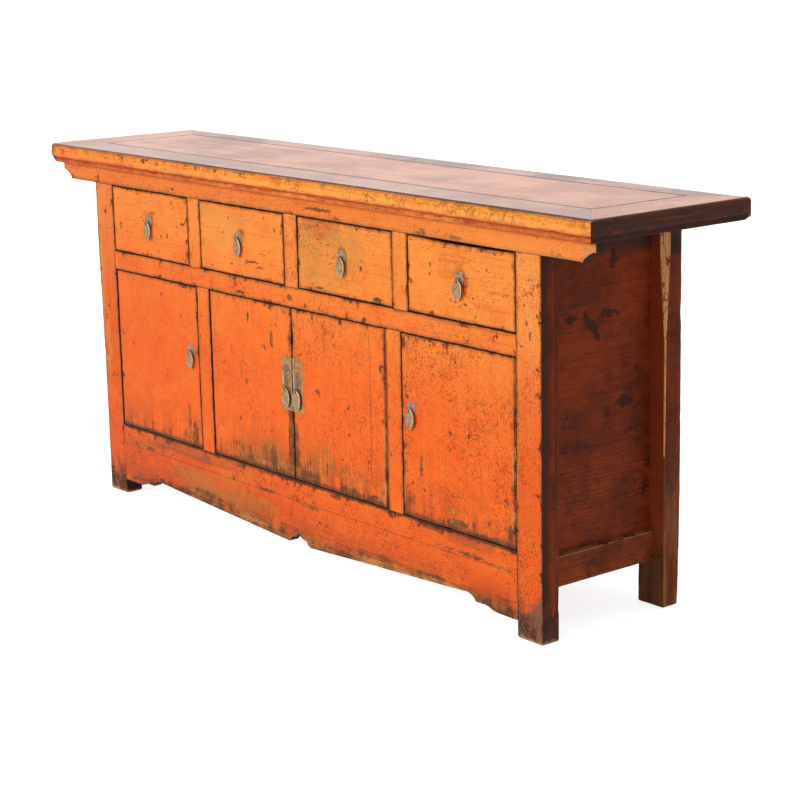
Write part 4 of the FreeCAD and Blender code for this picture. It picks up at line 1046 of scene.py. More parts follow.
MATERIALS = {
    "rails": front_lacquer("lacquer_rails", LOW_ORANGE, RAIL_ORANGE, "x", wear=1.15, craze=0.8,
                           marks=MID_RAIL_MARKS),
    "long_rail": rail_finish("lacquer_long_rail"),
    "uprights": front_lacquer("lacquer_uprights", LOW_ORANGE, HIGH_ORANGE, "z", wear=0.9,
                              craze=0.8, lift=0.4),
    "low_rail": front_lacquer("lacquer_low_rail", APRON_RED, LOW_RAIL_ORANGE, "x", rim_dirt=0.78,
                              **LOW_COAT),
    "apron": front_lacquer("lacquer_apron", APRON_RED, LOW_RAIL_ORANGE, "x", foot=0.05,
                           foot_reach=0.05, rim_wear=0.3, rim_dirt=0.87, pale=APRON_PALE,
                           worn=APRON_WORN, **LOW_COAT),
    "post_left": post_finish("lacquer_post_left", (colour(228, 94, 34), colour(238, 136, 62)),
                             lift=-0.7, craze=0.6, stains=LEFT_POST_STAINS),
    "post_right": post_finish("lacquer_post_right", (colour(232, 98, 32), colour(250, 154, 72)),
                              lift=0.7, craze=1.4),
    "nose": nose_finish("lacquer_nose"),
    "panel": top_finish("polish_panel", TOP_TONE, TOP_DARK),
    "top_back": top_finish("polish_back_member", TOP_DARK, colour(112, 72, 48)),
    "top_ends": end_finish("stain_top_ends"),
    "side_panel": side_finish("stain_panel", colour(148, 58, 26), PANEL_MARKS),
    "side_rail": side_finish("stain_rail", colour(144, 66, 30)),
    "side_post": wane_finish("stain_post"),
    "plate": metal_finish("metal_plate", colour(158, 132, 108), colour(116, 94, 76), 0.35),
    "drop": metal_finish("metal_drop", colour(164, 130, 90), colour(126, 98, 66), 0.4),
    "lock": metal_finish("metal_lock", colour(172, 126, 66), colour(126, 88, 46), 0.35,
                         STAPLE_GRIME),
    "iron": metal_finish("metal_staple", colour(134, 118, 104), colour(96, 82, 72), 0.5),
}
for grain_axis in "xyz":
    MATERIALS[f"raw_{grain_axis}"] = raw_wood(f"raw_wood_{grain_axis}", grain_axis)


# Top

BEAD_HEIGHT = 33 * MM
BEAD_ROUND = 16 * MM
BEAD_TOP_INSET = 7 * MM
BEAD_FLOOR_INSET = 4 * MM
BEAD_BELLY = 17 * MM
GROOVE_HEIGHT = 3 * MM
GROOVE_INSET = 9 * MM
BAND_INSET = 6 * MM
BAND_RADIUS = 9 * MM
EDGE_REACH = 20 * MM
CHAMFER = 8 * MM
END_CHAMFER_HEIGHT = 16 * MM
BACK_ARRIS = 15 * MM
END_ARRIS = 3 * MM
CORNER_ARRIS = 8 * MM
CORNER_REACH = 0.05
MITRE_RUN = 0.12
SEAM = 0.8 * MM
LEFT_EXTRA = 5 * MM
LEFT_START = 0.87
# How far each corner of the top is rounded in plan
CORNER_ROUNDS = {(-1, -1): 16 * MM, (1, -1): 3 * MM, (-1, 1): 6 * MM, (1, 1): 5 * MM}

bead_floor = top_face - BEAD_HEIGHT
groove_floor = bead_floor - GROOVE_HEIGHT
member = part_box("top_frame_front")[1].y - nose
back_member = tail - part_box("top_frame_back")[0].y


def nose_profile(z):
    """How far the front member's edge lies behind its nose at a height."""
    round_floor = top_face - BEAD_ROUND
    if z >= round_floor:
        return -arc_height(top_face - z, (0, -BEAD_TOP_INSET), (BEAD_ROUND, 0), BEAD_ROUND, False)
    if z >= bead_floor + 0.15 * MM:
        return arc_height(z, (bead_floor, BEAD_FLOOR_INSET), (round_floor, 0), BEAD_BELLY, True)
    if z > groove_floor:
        return GROOVE_INSET
    return arc_height(z, (case_top, GROOVE_INSET), (groove_floor, BAND_INSET), BAND_RADIUS, True)


def plain_profile(z, chamfer_height, arris):
    """How far an edge with a chamfer below and a rounded arris above lies in at a height."""
    rise = z - case_top
    if rise < chamfer_height:
        return CHAMFER * (1 - rise / chamfer_height)
    return round_inset(top_face - z, arris)


def rounded_corner(place, inset):
    """Rounds the top's outer corners in plan, for an edge that lies inset by a profile."""
    side = (1 if place.x > 0 else -1, 1 if place.y > 0 else -1)
    radius = CORNER_ROUNDS[side]
    reach_x = abs(place.x) + inset - (half_length - radius)
    reach_y = abs(place.y) + inset - (tail - radius)
    reach = math.hypot(reach_x, reach_y)
    if reach_x > 0 and reach_y > 0 and reach > radius:
        place.x += side[0] * reach_x * (radius / reach - 1)
        place.y += side[1] * reach_y * (radius / reach - 1)
    return place


def mitred(place, along, deep, length):
    """Draws a member's end in along its mitre, from a short run before it to the very end."""
    start = half_length if along == 0 else tail
    run = (abs(place[along]) - start + length + MITRE_RUN) / (length + MITRE_RUN)
    if run > 0:
        place[along] -= math.copysign(deep * run, place[along])


def drawn_left(place):
    """The left ends of top and long rail, which reach a little farther than the right ones."""
    place.x -= LEFT_EXTRA * max(0, (-place.x - LEFT_START) / (half_length - LEFT_START))
    return warped(place)


def front_member_bend(place):
    inset = nose_profile(place.z) * fade(place.y - nose, EDGE_REACH)
    place.y += inset
    mitred(place, 0, place.y - nose, member)
    return drawn_left(rounded_corner(place, inset))


def back_member_bend(place):
    inset = plain_profile(place.z, CHAMFER, BACK_ARRIS) * fade(tail - place.y, EDGE_REACH)
    place.y -= inset
    mitred(place, 0, (tail - place.y) * member / back_member, member)
    return drawn_left(rounded_corner(place, inset))


def end_member_bend(place):
    corner = fade(tail - abs(place.y), CORNER_REACH)
    arris = END_ARRIS + (CORNER_ARRIS - END_ARRIS) * corner
    inset = plain_profile(place.z, END_CHAMFER_HEIGHT, arris)
    inset *= fade(half_length - abs(place.x), EDGE_REACH)
    place.x -= math.copysign(inset, place.x)
    deep = half_length - abs(place.x)
    if place.y < 0:
        mitred(place, 1, deep, member)
    else:
        mitred(place, 1, deep * back_member / member, back_member)
    return drawn_left(rounded_corner(place, inset))


def build_top():
    """The four mitred members of the top's frame, and the panel between them."""
    levels = [groove_floor - 0.1 * MM, groove_floor, bead_floor, bead_floor + 0.2 * MM]
    levels += [top_face - drop * MM for drop in range(1, 46, 2)]
    members = (
        ("front_member", "front", "nose", "front_lacquer", "xX", front_member_bend, 1, 12),
        ("back_member", "back", "top_back", "top_lacquer", "xX", back_member_bend, 2, 14),
        ("end_member_left", "left", "top_ends", "side_lacquer", "yY", end_member_bend, 2, 14),
        ("end_member_right", "right", "top_ends", "side_lacquer", "yY", end_member_bend, 4, 14),
    )
    for name, place, material, slot, joints, bend, seed, step in members:
        lay_board(f"top_{name}", f"top_frame_{place}", material, slot, ease=0.6 * MM,
                  joints=joints, lines={"z": levels}, bend=bend, seed=seed, step=step * MM)
    panel_x = half_length - member - SEAM
    panel = {"x": (-panel_x, panel_x), "y": (nose + member + SEAM, tail - back_member - SEAM)}
    lay_board("top_panel_boards", "top_panel", "panel", "top_lacquer", panel, ease=0.7 * MM,
              step=20 * MM, bend=warped, seed=5)


# Posts

# The wane of the back right post, the corner that was never square, is widest at its top
WANE_TOP = 0.765
WANE_TIP = 0.575
WANE_END = 0.3
WANE_TAIL = 0.1
LEAST_WANE = 0.01
WANE_FRONT = 16 * MM
WANE_SIDE = 10.5 * MM
WANE_FADE = 2 * MM
FOOT_ROUND = 5 * MM
FOOT_WEAR = 0.6 * MM
FOOT_WEAR_REACH = 30 * MM
LEAN = 5.5 * MM
LEAN_LEVELS = (0.35, 0.6)
BOW = 6.4 * MM
BOW_FOOT = 0.24
BOW_TOP = 0.3


def wane_size(z):
    """How wide the wane is at a height, as a share of its widest."""
    if z > WANE_TIP:
        return min(1, WANE_TAIL + (1 - WANE_TAIL) * (z - WANE_TIP) / (WANE_TOP - WANE_TIP))
    return max(0, WANE_TAIL * (z - WANE_END) / (WANE_TIP - WANE_END))


def wane_share(place, size):
    """0 at the corner that a wane of this size takes off, 1 on its face, and more beyond."""
    across = (case_half - place.x) / (WANE_FRONT * size)
    along = (place.y - back_post_front) / (WANE_SIDE * size)
    return across + along


def wane_depth(place):
    """How deep a place lies in the corner that the wane takes off, 0 where it is clear of it."""
    size = wane_size(place.z) * (1 + 0.2 * noise.noise(place * 18))
    return max(0, 1 - wane_share(place, size)) if size > LEAST_WANE else 0


def on_wane(place):
    """1 where a place lies on the wane, 0 from 2 mm off it."""
    size = wane_size(place.z)
    if size <= LEAST_WANE:
        return 0
    slope = math.hypot(1 / (WANE_FRONT * size), 1 / (WANE_SIDE * size))
    return fade(max(0, wane_share(place, size) - 1) / slope, WANE_FADE)


def post_bend(place):
    """A post, slightly uneven, with its foot worn round."""
    inset = round_inset(place.z, FOOT_ROUND)
    near_face, far_face = (front, front_post_back) if place.y < 0 else (back_post_front, back)
    middle_x = math.copysign((case_half + post_inner) / 2, place.x)
    middle_y = (near_face + far_face) / 2
    place.x += (middle_x - place.x) * inset / ((case_half - post_inner) / 2)
    place.y += (middle_y - place.y) * inset / ((far_face - near_face) / 2)
    place.z += fade(place.z, FOOT_WEAR_REACH) * FOOT_WEAR * (1 + noise.noise(place * 45))
    return warped(place)


def left_post_bend(place):
    """The front left post: its outer face leans out a little in the upper part."""
    rise = (place.z - LEAN_LEVELS[0]) / (LEAN_LEVELS[1] - LEAN_LEVELS[0])
    outer = (-post_inner - place.x) / (case_half - post_inner)
    place.x -= LEAN * min(1, max(0, rise)) * min(1, max(0, outer))
    return post_bend(place)


def right_back_bend(place):
    """The back right post: waney at its front corner, and swollen at its back below the middle."""
    depth = wane_depth(place)
    if depth > 0:
        size = wane_size(place.z)
        place.x -= depth * WANE_FRONT * size * 0.5
        place.y += depth * WANE_SIDE * size * 0.5
    rise = min(1, (max(0, place.z) / BOW_FOOT) ** 0.6)
    fall = 1 - max(0, place.z - BOW_TOP)
    place.y += BOW * rise * fall * (place.y - back_post_front) / (back - back_post_front)
    return post_bend(place)


def build_posts():
    """The four posts. The front pair show only as far up as the long rail."""
    lines = {"z": [level * MM for level in (3, 6, 10, 15, 20, 30)]}
    common = {"ease": 2 * MM, "joints": "Z"}
    shown = {"z": (0, drawer_top)}
    for name, bend, seed in (("left", left_post_bend, 10), ("right", post_bend, 12)):
        lay_board(f"front_post_{name}", f"post_front_{name}", f"post_{name}", stretch=shown,
                  lines=lines, bend=bend, seed=seed, **common)
    lay_board("back_post_left", "post_back_left", "side_post", "side_lacquer", lines=lines,
              bend=post_bend, seed=14, step=8 * MM, **common)
    wane_lines = {"z": lines["z"], "x": [case_half - step * 1.25 * MM for step in range(1, 19)],
                  "y": [back_post_front + step * 1.5 * MM for step in range(1, 11)]}
    lay_board("back_post_right", "post_back_right", "side_post", "side_lacquer",
              lines=wane_lines, bend=right_back_bend, bare=on_wane, seed=16, step=8 * MM, **common)


# Front rails and uprights

LIP = 20 * MM
END_STEP = 6 * MM
COVE = 28 * MM
COVE_FOOT = 4 * MM
COVE_RADIUS = 90 * MM
LINE_GAP = 0.2 * MM
COVE_END = rail_reach - END_STEP
COVE_START = COVE_END - COVE
BETWEEN_POSTS = {"x": (-post_inner, post_inner)}


def rail_underside(x):
    """The lower edge of the long rail under the top, which is coved at both ends."""
    x = abs(x)
    if x <= COVE_START:
        return drawer_top
    if x >= COVE_END:
        return case_top - LIP
    return arc_height(x, (COVE_START, drawer_top + COVE_FOOT), (COVE_END, case_top - LIP),
                      COVE_RADIUS, False)


def coved(place):
    """The long rail, whose lower edge follows its coves."""
    share = (case_top - rail_underside(place.x)) / (case_top - drawer_top)
    place.z = case_top - (case_top - place.z) * share
    return drawn_left(place)


def level_topped(place):
    """The middle rail, whose upper side stays level under the drawers."""
    place = warped(place)
    place.z = min(place.z, drawer_floor)
    return place


def build_rails():
    """The three long rails in front, and the stiles between drawers and between doors."""
    lines = [COVE_START + COVE * part / 10 for part in range(11)]
    lines += [COVE_START - LINE_GAP, COVE_END - LINE_GAP]
    lay_board("long_rail", "top_rail_front", "long_rail", ease=1.4 * MM, joints="Z",
              lines={"x": [-x for x in lines] + lines}, bend=coved, seed=21)
    lay_board("mid_rail", "mid_rail_front", "rails", stretch=BETWEEN_POSTS, ease=1.5 * MM,
              joints="xX", bend=level_topped, seed=22)
    lay_board("bottom_rail", "bottom_rail_front", "low_rail", stretch=BETWEEN_POSTS,
              ease=1.5 * MM, joints="xXz", bend=warped, seed=23)
    for kind, floor, ceiling, ease, seed, places in (
            ("drawer", drawer_floor, drawer_top, 1.6, 0, ("left", "centre", "right")),
            ("door", door_floor, door_top, 1.8, 7, ("left", "right"))):
        for place in places:
            lay_board(f"stile_{kind}s_{place}", f"{kind}_stile_{place}", "uprights",
                      stretch={"z": (floor, ceiling)}, ease=ease * MM, joints="zZ", bend=warped,
                      seed=seed + len(place))


# Apron

LEG_FLOOR = 37 * MM
FOOT_X = post_inner - 74 * MM
SCALLOP_END = FOOT_X - 28 * MM
SCALLOP_START = SCALLOP_END - 26 * MM
SHOULDER_X = SCALLOP_START - 40 * MM
FLAT_FLOOR = LEG_FLOOR + 8 * MM
SHOULDER_FLOOR = FLAT_FLOOR + 14.5 * MM
SHOULDER_ARC = 40 * MM
NOTCH_HALF = 46 * MM
NOTCH_ARC = 16 * MM
ROUND_X = NOTCH_HALF - 18 * MM
LEDGE_X = ROUND_X - 6 * MM
MIDDLE_FLOOR = 31 * MM
WALL_TOP = MIDDLE_FLOOR + 11 * MM
LEDGE_TOP = WALL_TOP + 2 * MM
CUSP = MIDDLE_FLOOR + 24 * MM
CUSP_ARC = 24 * MM


def apron_underside(x):
    """The shaped lower edge of the apron: scallops at the legs and a cusped notch in the middle."""
    x = abs(x)
    if x >= FOOT_X:
        return LEG_FLOOR
    if x >= SCALLOP_END:
        return between(x, (SCALLOP_END, FLAT_FLOOR), (FOOT_X, LEG_FLOOR))
    if x >= SCALLOP_START:
        return FLAT_FLOOR
    if x >= SHOULDER_X:
        return arc_height(x, (SHOULDER_X, SHOULDER_FLOOR), (SCALLOP_START, FLAT_FLOOR),
                          SHOULDER_ARC, False)
    if x >= NOTCH_HALF:
        return between(x, (NOTCH_HALF, MIDDLE_FLOOR), (SHOULDER_X, SHOULDER_FLOOR))
    if x >= ROUND_X:
        return arc_height(x, (ROUND_X, WALL_TOP), (NOTCH_HALF, MIDDLE_FLOOR), NOTCH_ARC, True)
    if x >= LEDGE_X:
        return between(x, (LEDGE_X, LEDGE_TOP), (ROUND_X, WALL_TOP))
    return arc_height(x, (0, CUSP), (LEDGE_X, LEDGE_TOP), CUSP_ARC, True)


def shaped(place):
    """The apron, drawn up from its lowest level to its shaped edge."""
    share = (rail_floor - apron_underside(place.x)) / (rail_floor - MIDDLE_FLOOR)
    place.z = rail_floor - (rail_floor - place.z) * share
    return warped(place)


def build_apron():
    lines = [0, LEDGE_X, ROUND_X, NOTCH_HALF, SHOULDER_X, SCALLOP_START, SCALLOP_END, FOOT_X]
    for start, end, parts in ((0, LEDGE_X, 8), (ROUND_X, NOTCH_HALF, 10),
                              (SHOULDER_X, SCALLOP_START, 8)):
        lines += [start + (end - start) * part / parts for part in range(1, parts)]
    lay_board("apron", "apron_front", "apron", stretch=BETWEEN_POSTS, ease=2 * MM, joints="xXZ",
              lines={"x": [-x for x in lines] + lines}, bend=shaped, seed=31, step=10 * MM)


# Sides, back and the plain boards inside

SIDE_SEAMS = (0.375, 0.670)
SIDE_SEAM_HALF = 0.05 * MM
PANEL_TONGUE = 4 * MM
# How far each board of a side panel stands in from its place, from the lowest up
PANEL_INSETS = (0, 0.5 * MM, 0.2 * MM)


def build_sides():
    """Two rails and a panel of three boards on each side."""
    between_posts = {"y": (front_post_back, back_post_front)}
    levels = (side_rail_top - PANEL_TONGUE, *SIDE_SEAMS,
              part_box("side_top_rail_right")[0].z + PANEL_TONGUE)
    for name, side in (("left", -1), ("right", 1)):
        for level in ("top", "bottom"):
            lay_board(f"{level}_rail_{name}", f"side_{level}_rail_{name}", "side_rail",
                      "side_lacquer", between_posts, ease=1.5 * MM, joints="yY", bend=warped,
                      seed=41 + side)
        low, high = seen(f"side_panel_{name}", **between_posts)
        boards = Board()
        for number, (floor, ceiling) in enumerate(zip(levels, levels[1:])):
            inset = PANEL_INSETS[number] * side
            boards.add((low.x - inset, low.y, floor + SIDE_SEAM_HALF),
                       (high.x - inset, high.y, ceiling - SIDE_SEAM_HALF), ease=0.8 * MM,
                       joints="yYzZ", bend=warped, seed=44 + number)
        boards.make(f"panel_boards_{name}", MATERIALS["side_panel"], "carcase", "side_lacquer",
                    [f"side_panel_{name}"])


def plain_boards(name, node, material, body, seed, bend=None):
    """Eased boards in the places of a node's own solids, straight where no bend is given."""
    boards = Board()
    for number, (low, high) in enumerate(sorted(solids_of(node), key=lambda pair: tuple(pair[0]))):
        boards.add(low, high, ease=0.8 * MM, step=30 * MM, bend=bend, seed=seed + number)
    boards.make(name, MATERIALS[material], body, "bare_wood", [node])


def build_back_and_inside():
    """The back's rails and boards, the bottom boards, and what the drawers run on and stop at."""
    for level in ("top", "mid", "bottom"):
        lay_board(f"back_rail_{level}", f"{level}_rail_back", "raw_x", "bare_wood", BETWEEN_POSTS,
                  joints="xX", bend=warped, seed=51)
    plain_boards("back_board_set", "back_boards", "raw_x", "carcase", 61, warped)
    plain_boards("bottom_board_set", "bottom_boards", "raw_x", "carcase", 71, warped)
    plain_boards("runner_set", "drawer_runners", "raw_y", "carcase", 81)
    plain_boards("stop_set", "drawer_stops", "raw_x", "carcase", 91)
    plain_boards("batten_set", "top_battens", "raw_y", "carcase", 101, warped)


# Drawers

SAG_START = 0.1
SAG_SPAN = 0.95
# For each drawer: how far the middle of its upper edge sits too low, how far the front stands
# back, and how far the pull sits beside its place, in millimetres. Then the look of its front.
DRAWERS = (
    {"sag": 0, "stands_back": 0.4, "aside": -5, "craze": 0.35, "stains": (),
     "marks": ((-500, 690, 5, 7),)},
    {"sag": 0.3, "stands_back": 0, "aside": -8, "craze": 0.45,
     "stains": ((-330, 772, 60, 20, OLIVE), (-200, 752, 40, 26, OLIVE),
                (-270, 730, 110, 60, PALE_OLIVE)),
     "marks": ((-150, 668, 34, 2.5), (-120, 657, 26, 2.5), (-110, 690, 20, 2.5),
               (-230, 655, 10, 3))},
    {"sag": 0.2, "stands_back": 1, "aside": -4, "craze": 0.6,
     "stains": ((110, 770, 100, 34, RED_BROWN), (60, 715, 60, 80, OLIVE),
                (190, 735, 100, 70, OLIVE), (120, 675, 110, 60, OLIVE)),
     "marks": ((250, 700, 5, 5), (105, 640, 16, 4))},
    {"sag": 3.6, "stands_back": 0.2, "aside": -1, "craze": 0.5,
     # Beside the drop: old red, darkened as the drop's painted shadow
     "stains": ((592, 702, 11, 26, OLD_RED_AND_DROP_SHADOW), (650, 668, 40, 14, colour(232, 118, 48))),
     "marks": ((560, 668, 5, 4), (573, 662, 4, 4), (590, 666, 8, 3), (480, 737, 4, 8),
               (545, 672, 4, 4), (480, 718, 3, 5), (640, 780, 6, 3), (655, 745, 3, 4),
               (605, 780, 5, 3))},
)


def rust_halo(node, aside):
    """The stain of rust that a plate leaves on the lacquer round it."""
    low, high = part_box(node)
    return ((low.x + high.x) / 2 / MM + aside, (low.z + high.z) / 2 / MM, (high.x - low.x) / MM,
            (high.z - low.z) / MM, RUST)


def drawer_bend(low, high, sag, stands_back):
    """The bend of a drawer front, which sags at its upper edge and stands back."""
    def settled(place):
        across = (place.x - low.x) / (high.x - low.x)
        lowered = max(0, math.sin(math.pi * (across - SAG_START) / SAG_SPAN)) * sag * MM
        place.z -= lowered * (place.z - low.z) / (high.z - low.z)
        place.y += stands_back * MM * max(0, (high.y - place.y) / (high.y - low.y))
        return warped(place)

    return settled


def build_drawers():
    for number, drawer in enumerate(DRAWERS):
        name = f"drawer_{number + 1}"
        halo = rust_halo(f"{name}_pull_plate", drawer["aside"])
        material = front_lacquer(f"lacquer_{name}", LOW_ORANGE, HIGH_ORANGE, "x", wear=1.1,
                                 craze=drawer["craze"], lift=number * 0.31 + 0.2, rim_dirt=0.9,
                                 stains=(*drawer["stains"], halo), marks=drawer["marks"])
        low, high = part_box(f"{name}_front")
        bend = drawer_bend(low, high, drawer["sag"], drawer["stands_back"])
        Board().add(low, high, ease=2.6 * MM, bend=bend, seed=111 + number * 3, step=10 * MM).make(
            f"{name}_face", material, name, "drawer_lacquer", [f"{name}_front"])
        plain_boards(f"{name}_case", f"{name}_box", "raw_y", name, 121 + number)


# Doors

PIVOT_INSET = 14 * MM
PIN_RADIUS = 5 * MM
PIN_ARRIS = 0.4 * MM
PIN_Y = front + 10 * MM
DOOR_THICKNESS = 22 * MM
DOOR_GAP = 2 * MM
# The middle doors meet a little left of the middle, and their plates and drops are there too
MEETING = -7 * MM
DOORS = {
    "left": {
        "craze": 0.5, "foot_reach": 0.1, "worn": ((-425, 50),),
        "marks": ((-455, 500, 5, 8), (-432, 250, 6, 60), (-412, 215, 18, 40), (-600, 186, 90, 7))},
    "centre_left": {
        "craze": 0.8, "foot_reach": 0.13, "worn": ((-170, 100), (-50, 90)),
        "marks": ((-84, 497, 8, 26), (-175, 540, 5, 18), (-16, 500, 6, 34), (-19, 270, 13, 95),
                  (-66, 204, 80, 22), (-170, 196, 60, 14)),
        "pale": ((-130, 200, 12, 12),),
        "stains": ((-220, 214, 80, 34, OLIVE_BROWN), (-110, 226, 70, 50, OLIVE_BROWN))},
    "centre_right": {
        "craze": 1.2, "foot_reach": 0.13, "worn": ((40, 70),),
        "marks": ((60, 560, 5, 4), (1, 505, 6, 32), (3, 260, 13, 85), (50, 200, 60, 18),
                  (200, 196, 60, 10), (290, 196, 40, 12)),
        "pale": ((321, 310, 7, 130), (315, 215, 12, 40)),
        "stains": ((112, 246, 44, 50, OLIVE_BROWN), (60, 226, 50, 44, OLIVE_BROWN),
                   (210, 226, 60, 34, OLIVE_BROWN)),
        "splits": ((274, 400, 180),)},
    "right": {
        "craze": 1.4, "foot_reach": 0.11, "worn": ((400, 30),),
        "marks": ((722, 214, 9, 30), (377, 225, 6, 34), (443, 300, 4, 30), (538, 390, 7, 8),
                  (597, 395, 5, 7), (556, 200, 44, 15), (640, 190, 40, 8), (690, 192, 50, 8)),
        "pale": ((733, 345, 8, 90), (732, 246, 5, 40), (447, 318, 3, 26), (545, 226, 9, 8))},
}


def door_bend(edge, side):
    """The bend of a door, whose outer edge is rounded about its pins."""
    def rounded(place):
        near = fade(abs(edge - place.x), PIVOT_INSET * 2)
        radius = math.sqrt(max(0, PIVOT_INSET ** 2 - (place.y - PIN_Y) ** 2))
        place.x -= side * (PIVOT_INSET - radius) * near
        return warped(place)

    return rounded


def add_pin(pins, x, start, end):
    """Adds an upright pin with eased ends, which a door turns on."""
    length = end - start
    narrow = PIN_RADIUS - PIN_ARRIS
    pins.turned((x, PIN_Y, start), "z", [
        (0, 0), (0, narrow), (PIN_ARRIS, PIN_RADIUS), (length - PIN_ARRIS, PIN_RADIUS),
        (length, narrow), (length, 0)], 24)


def build_doors():
    for number, (place_name, look) in enumerate(DOORS.items()):
        name = f"door_{place_name}"
        body = f"{name}_leaf"
        material = front_lacquer(f"lacquer_{name}", LOW_ORANGE, HIGH_ORANGE, "z", wear=1.25,
                                 lift=number * 0.43 + 0.1, foot=door_floor + 2 * MM,
                                 sill=12 * MM, **look)
        solids = sorted(solids_of(name), key=lambda pair: pair[0].y)
        low, high = solids[0]
        low.z = door_floor + DOOR_GAP
        high.z = door_top - DOOR_GAP
        high.y = front + DOOR_THICKNESS
        if place_name == "centre_left":
            high.x += MEETING
        if place_name == "centre_right":
            low.x += MEETING
        side = -1 if place_name.endswith("left") else 1
        edge = high.x if side > 0 else low.x
        Board().add(low, high, ease=2.4 * MM, bend=door_bend(edge, side), seed=131 + number * 5,
                    step=10 * MM).make(f"{name}_board", material, body, "door_lacquer", [name])
        battens = Board()
        for batten_low, batten_high in solids[1:]:
            battens.add(batten_low, batten_high, ease=1.5 * MM, step=25 * MM, seed=141 + number)
        battens.make(f"{name}_battens", MATERIALS["raw_x"], body, "bare_wood")
        pins = Round()
        pin_x = edge - side * PIVOT_INSET
        add_pin(pins, pin_x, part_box(name)[0].z, low.z + MM)
        add_pin(pins, pin_x, high.z - MM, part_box(name)[1].z)
        pins.make(f"{name}_pins", MATERIALS["raw_z"], body, "bare_wood")


# Pulls

PLATE = 1.5 * MM
RING = 4.5 * MM
WIRE = 1 * MM
SHANK = 1.6 * MM
SHANK_END = front + 14 * MM
DROP_THICKNESS = 2.4 * MM
EYE_DROP = 5.5 * MM
EYE_SLACK = 0.5 * MM
EYE = 2 * MM
HEAD_HALF = 5 * MM
HEAD_RADIUS = 6 * MM
SHOULDER = 15 * MM
SHOULDER_RADIUS = 17 * MM
SIDE_RADIUS = 28 * MM
TIP_HALF = 4 * MM
TIP_RADIUS = 5 * MM
STAPLE_BAR = 3.5 * MM
STAPLE_HEIGHTS = (20 * MM, 50 * MM)
# How far out each row of an oval plate lies, and how high, as shares of its size
PLATE_DOME = ((0.1, 1), (0.45, 0.96), (0.75, 0.84), (0.92, 0.6), (1, 0.3), (1, 0.01))
PLATE_STEPS = 48
# How far out each row of a drop's face lies, and how thick the drop is at its rim and its eye
DROP_ROWS = [0, 0.12, 0.3, 0.5, 0.7, 0.86, 0.95, 1]
DROP_RIM = 0.42
DROP_EYE = 0.62


def arc_points(start, end, radius, steps):
    """Points of the short arc from start to end, its centre on the left of the way."""
    start = Vector(start)
    end = Vector(end)
    chord = end - start
    to_left = Vector((-chord.y, chord.x)).normalized()
    centre = (start + end) / 2 + to_left * math.sqrt(radius ** 2 - (chord.length / 2) ** 2)
    first = math.atan2(start.y - centre.y, start.x - centre.x)
    sweep = 2 * math.asin(chord.length / 2 / radius)
    return [centre + Vector((math.cos(first + sweep * step / steps),
                             math.sin(first + sweep * step / steps))) * radius
            for step in range(steps)]


def drop_outline(half, length):
    """The outline of a drop about its eye: half its width and its whole length are given."""
    head = EYE_DROP - HEAD_RADIUS + math.sqrt(HEAD_RADIUS ** 2 - HEAD_HALF ** 2)
    wide = head - SHOULDER
    tip = EYE_DROP - length
    corners = [(-HEAD_HALF, head), (-half, wide), (-TIP_HALF, tip), (TIP_HALF, tip), (half, wide),
               (HEAD_HALF, head)]
    stretches = [(SHOULDER_RADIUS, 10), (SIDE_RADIUS, 18), (TIP_RADIUS, 6), (SIDE_RADIUS, 18),
                 (SHOULDER_RADIUS, 10), (HEAD_RADIUS, 8)]
    points = []
    for index, (radius, steps) in enumerate(stretches):
        points += arc_points(corners[index], corners[(index + 1) % 6], radius, steps)
    return points


def drop_row(outline, centre, share, face, seed):
    """A row of a drop's face, at a share of the way out from the eye. face is -1 for the front."""
    dome = DROP_THICKNESS / 2
    dome *= DROP_RIM + (1 - DROP_RIM) * math.sqrt(max(0, 1 - share ** 2.2))
    if share == 0:
        dome *= DROP_EYE
    row = []
    for point in outline:
        inner = point.normalized() * EYE
        spot = inner + (point - inner) * share
        pitted = 1 + 0.05 * noise.noise(Vector((spot.x, spot.y, seed)) * 350)
        row.append(Vector((centre.x + spot.x, centre.y + face * dome * pitted,
                           centre.z - RING - EYE_SLACK + spot.y)))
    return row


def build_drop(name, node, body, centre, seed):
    """A drop with a domed face, a thin rim and its eye round the ring's lower part."""
    low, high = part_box(node)
    outline = drop_outline((high.x - low.x) / 2, high.z - low.z)
    shares = DROP_ROWS + DROP_ROWS[::-1] + [0]
    faces = [-1] * len(DROP_ROWS) + [1] * len(DROP_ROWS) + [-1]
    rows = [drop_row(outline, centre, share, face, seed) for share, face in zip(shares, faces)]
    form = Round()
    form.quad_strip(rows, [1 if share > 0.8 else 0 for share in shares])
    form.make(name, MATERIALS["drop"], body, "grey_bronze", [node])


def build_ring(form, centre):
    """The wire ring and its shank, which goes into the wood."""
    form.loop(centre, RING, WIRE)
    start = centre.y + RING
    form.turned((centre.x, start, centre.z), "y", [
        (-WIRE, 0), (-WIRE, SHANK * 0.7), (-WIRE * 0.5, SHANK), (SHANK_END - start, SHANK),
        (SHANK_END - start, 0)], 20)


def build_escutcheon(name, node, body, centre):
    """A thin domed oval plate behind the ring."""
    low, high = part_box(node)
    half = (high.x - low.x) / 2
    half_height = (high.z - low.z) / 2
    middle_z = (high.z + low.z) / 2
    rows = []
    for share, height in PLATE_DOME:
        row = []
        for step in range(PLATE_STEPS):
            angle = math.tau * step / PLATE_STEPS
            spot = Vector((math.cos(angle) * 2, math.sin(angle) * 2, centre.x * 9))
            reach = share * (1 + 0.012 * noise.noise(spot))
            row.append(Vector((centre.x - half * reach * math.sin(angle), front - PLATE * height,
                               middle_z + half_height * reach * math.cos(angle))))
        rows.append(row)
    form = Round()
    form.quad_strip(rows)
    build_ring(form, centre)
    form.make(name, MATERIALS["plate"], body, "grey_bronze", [node])


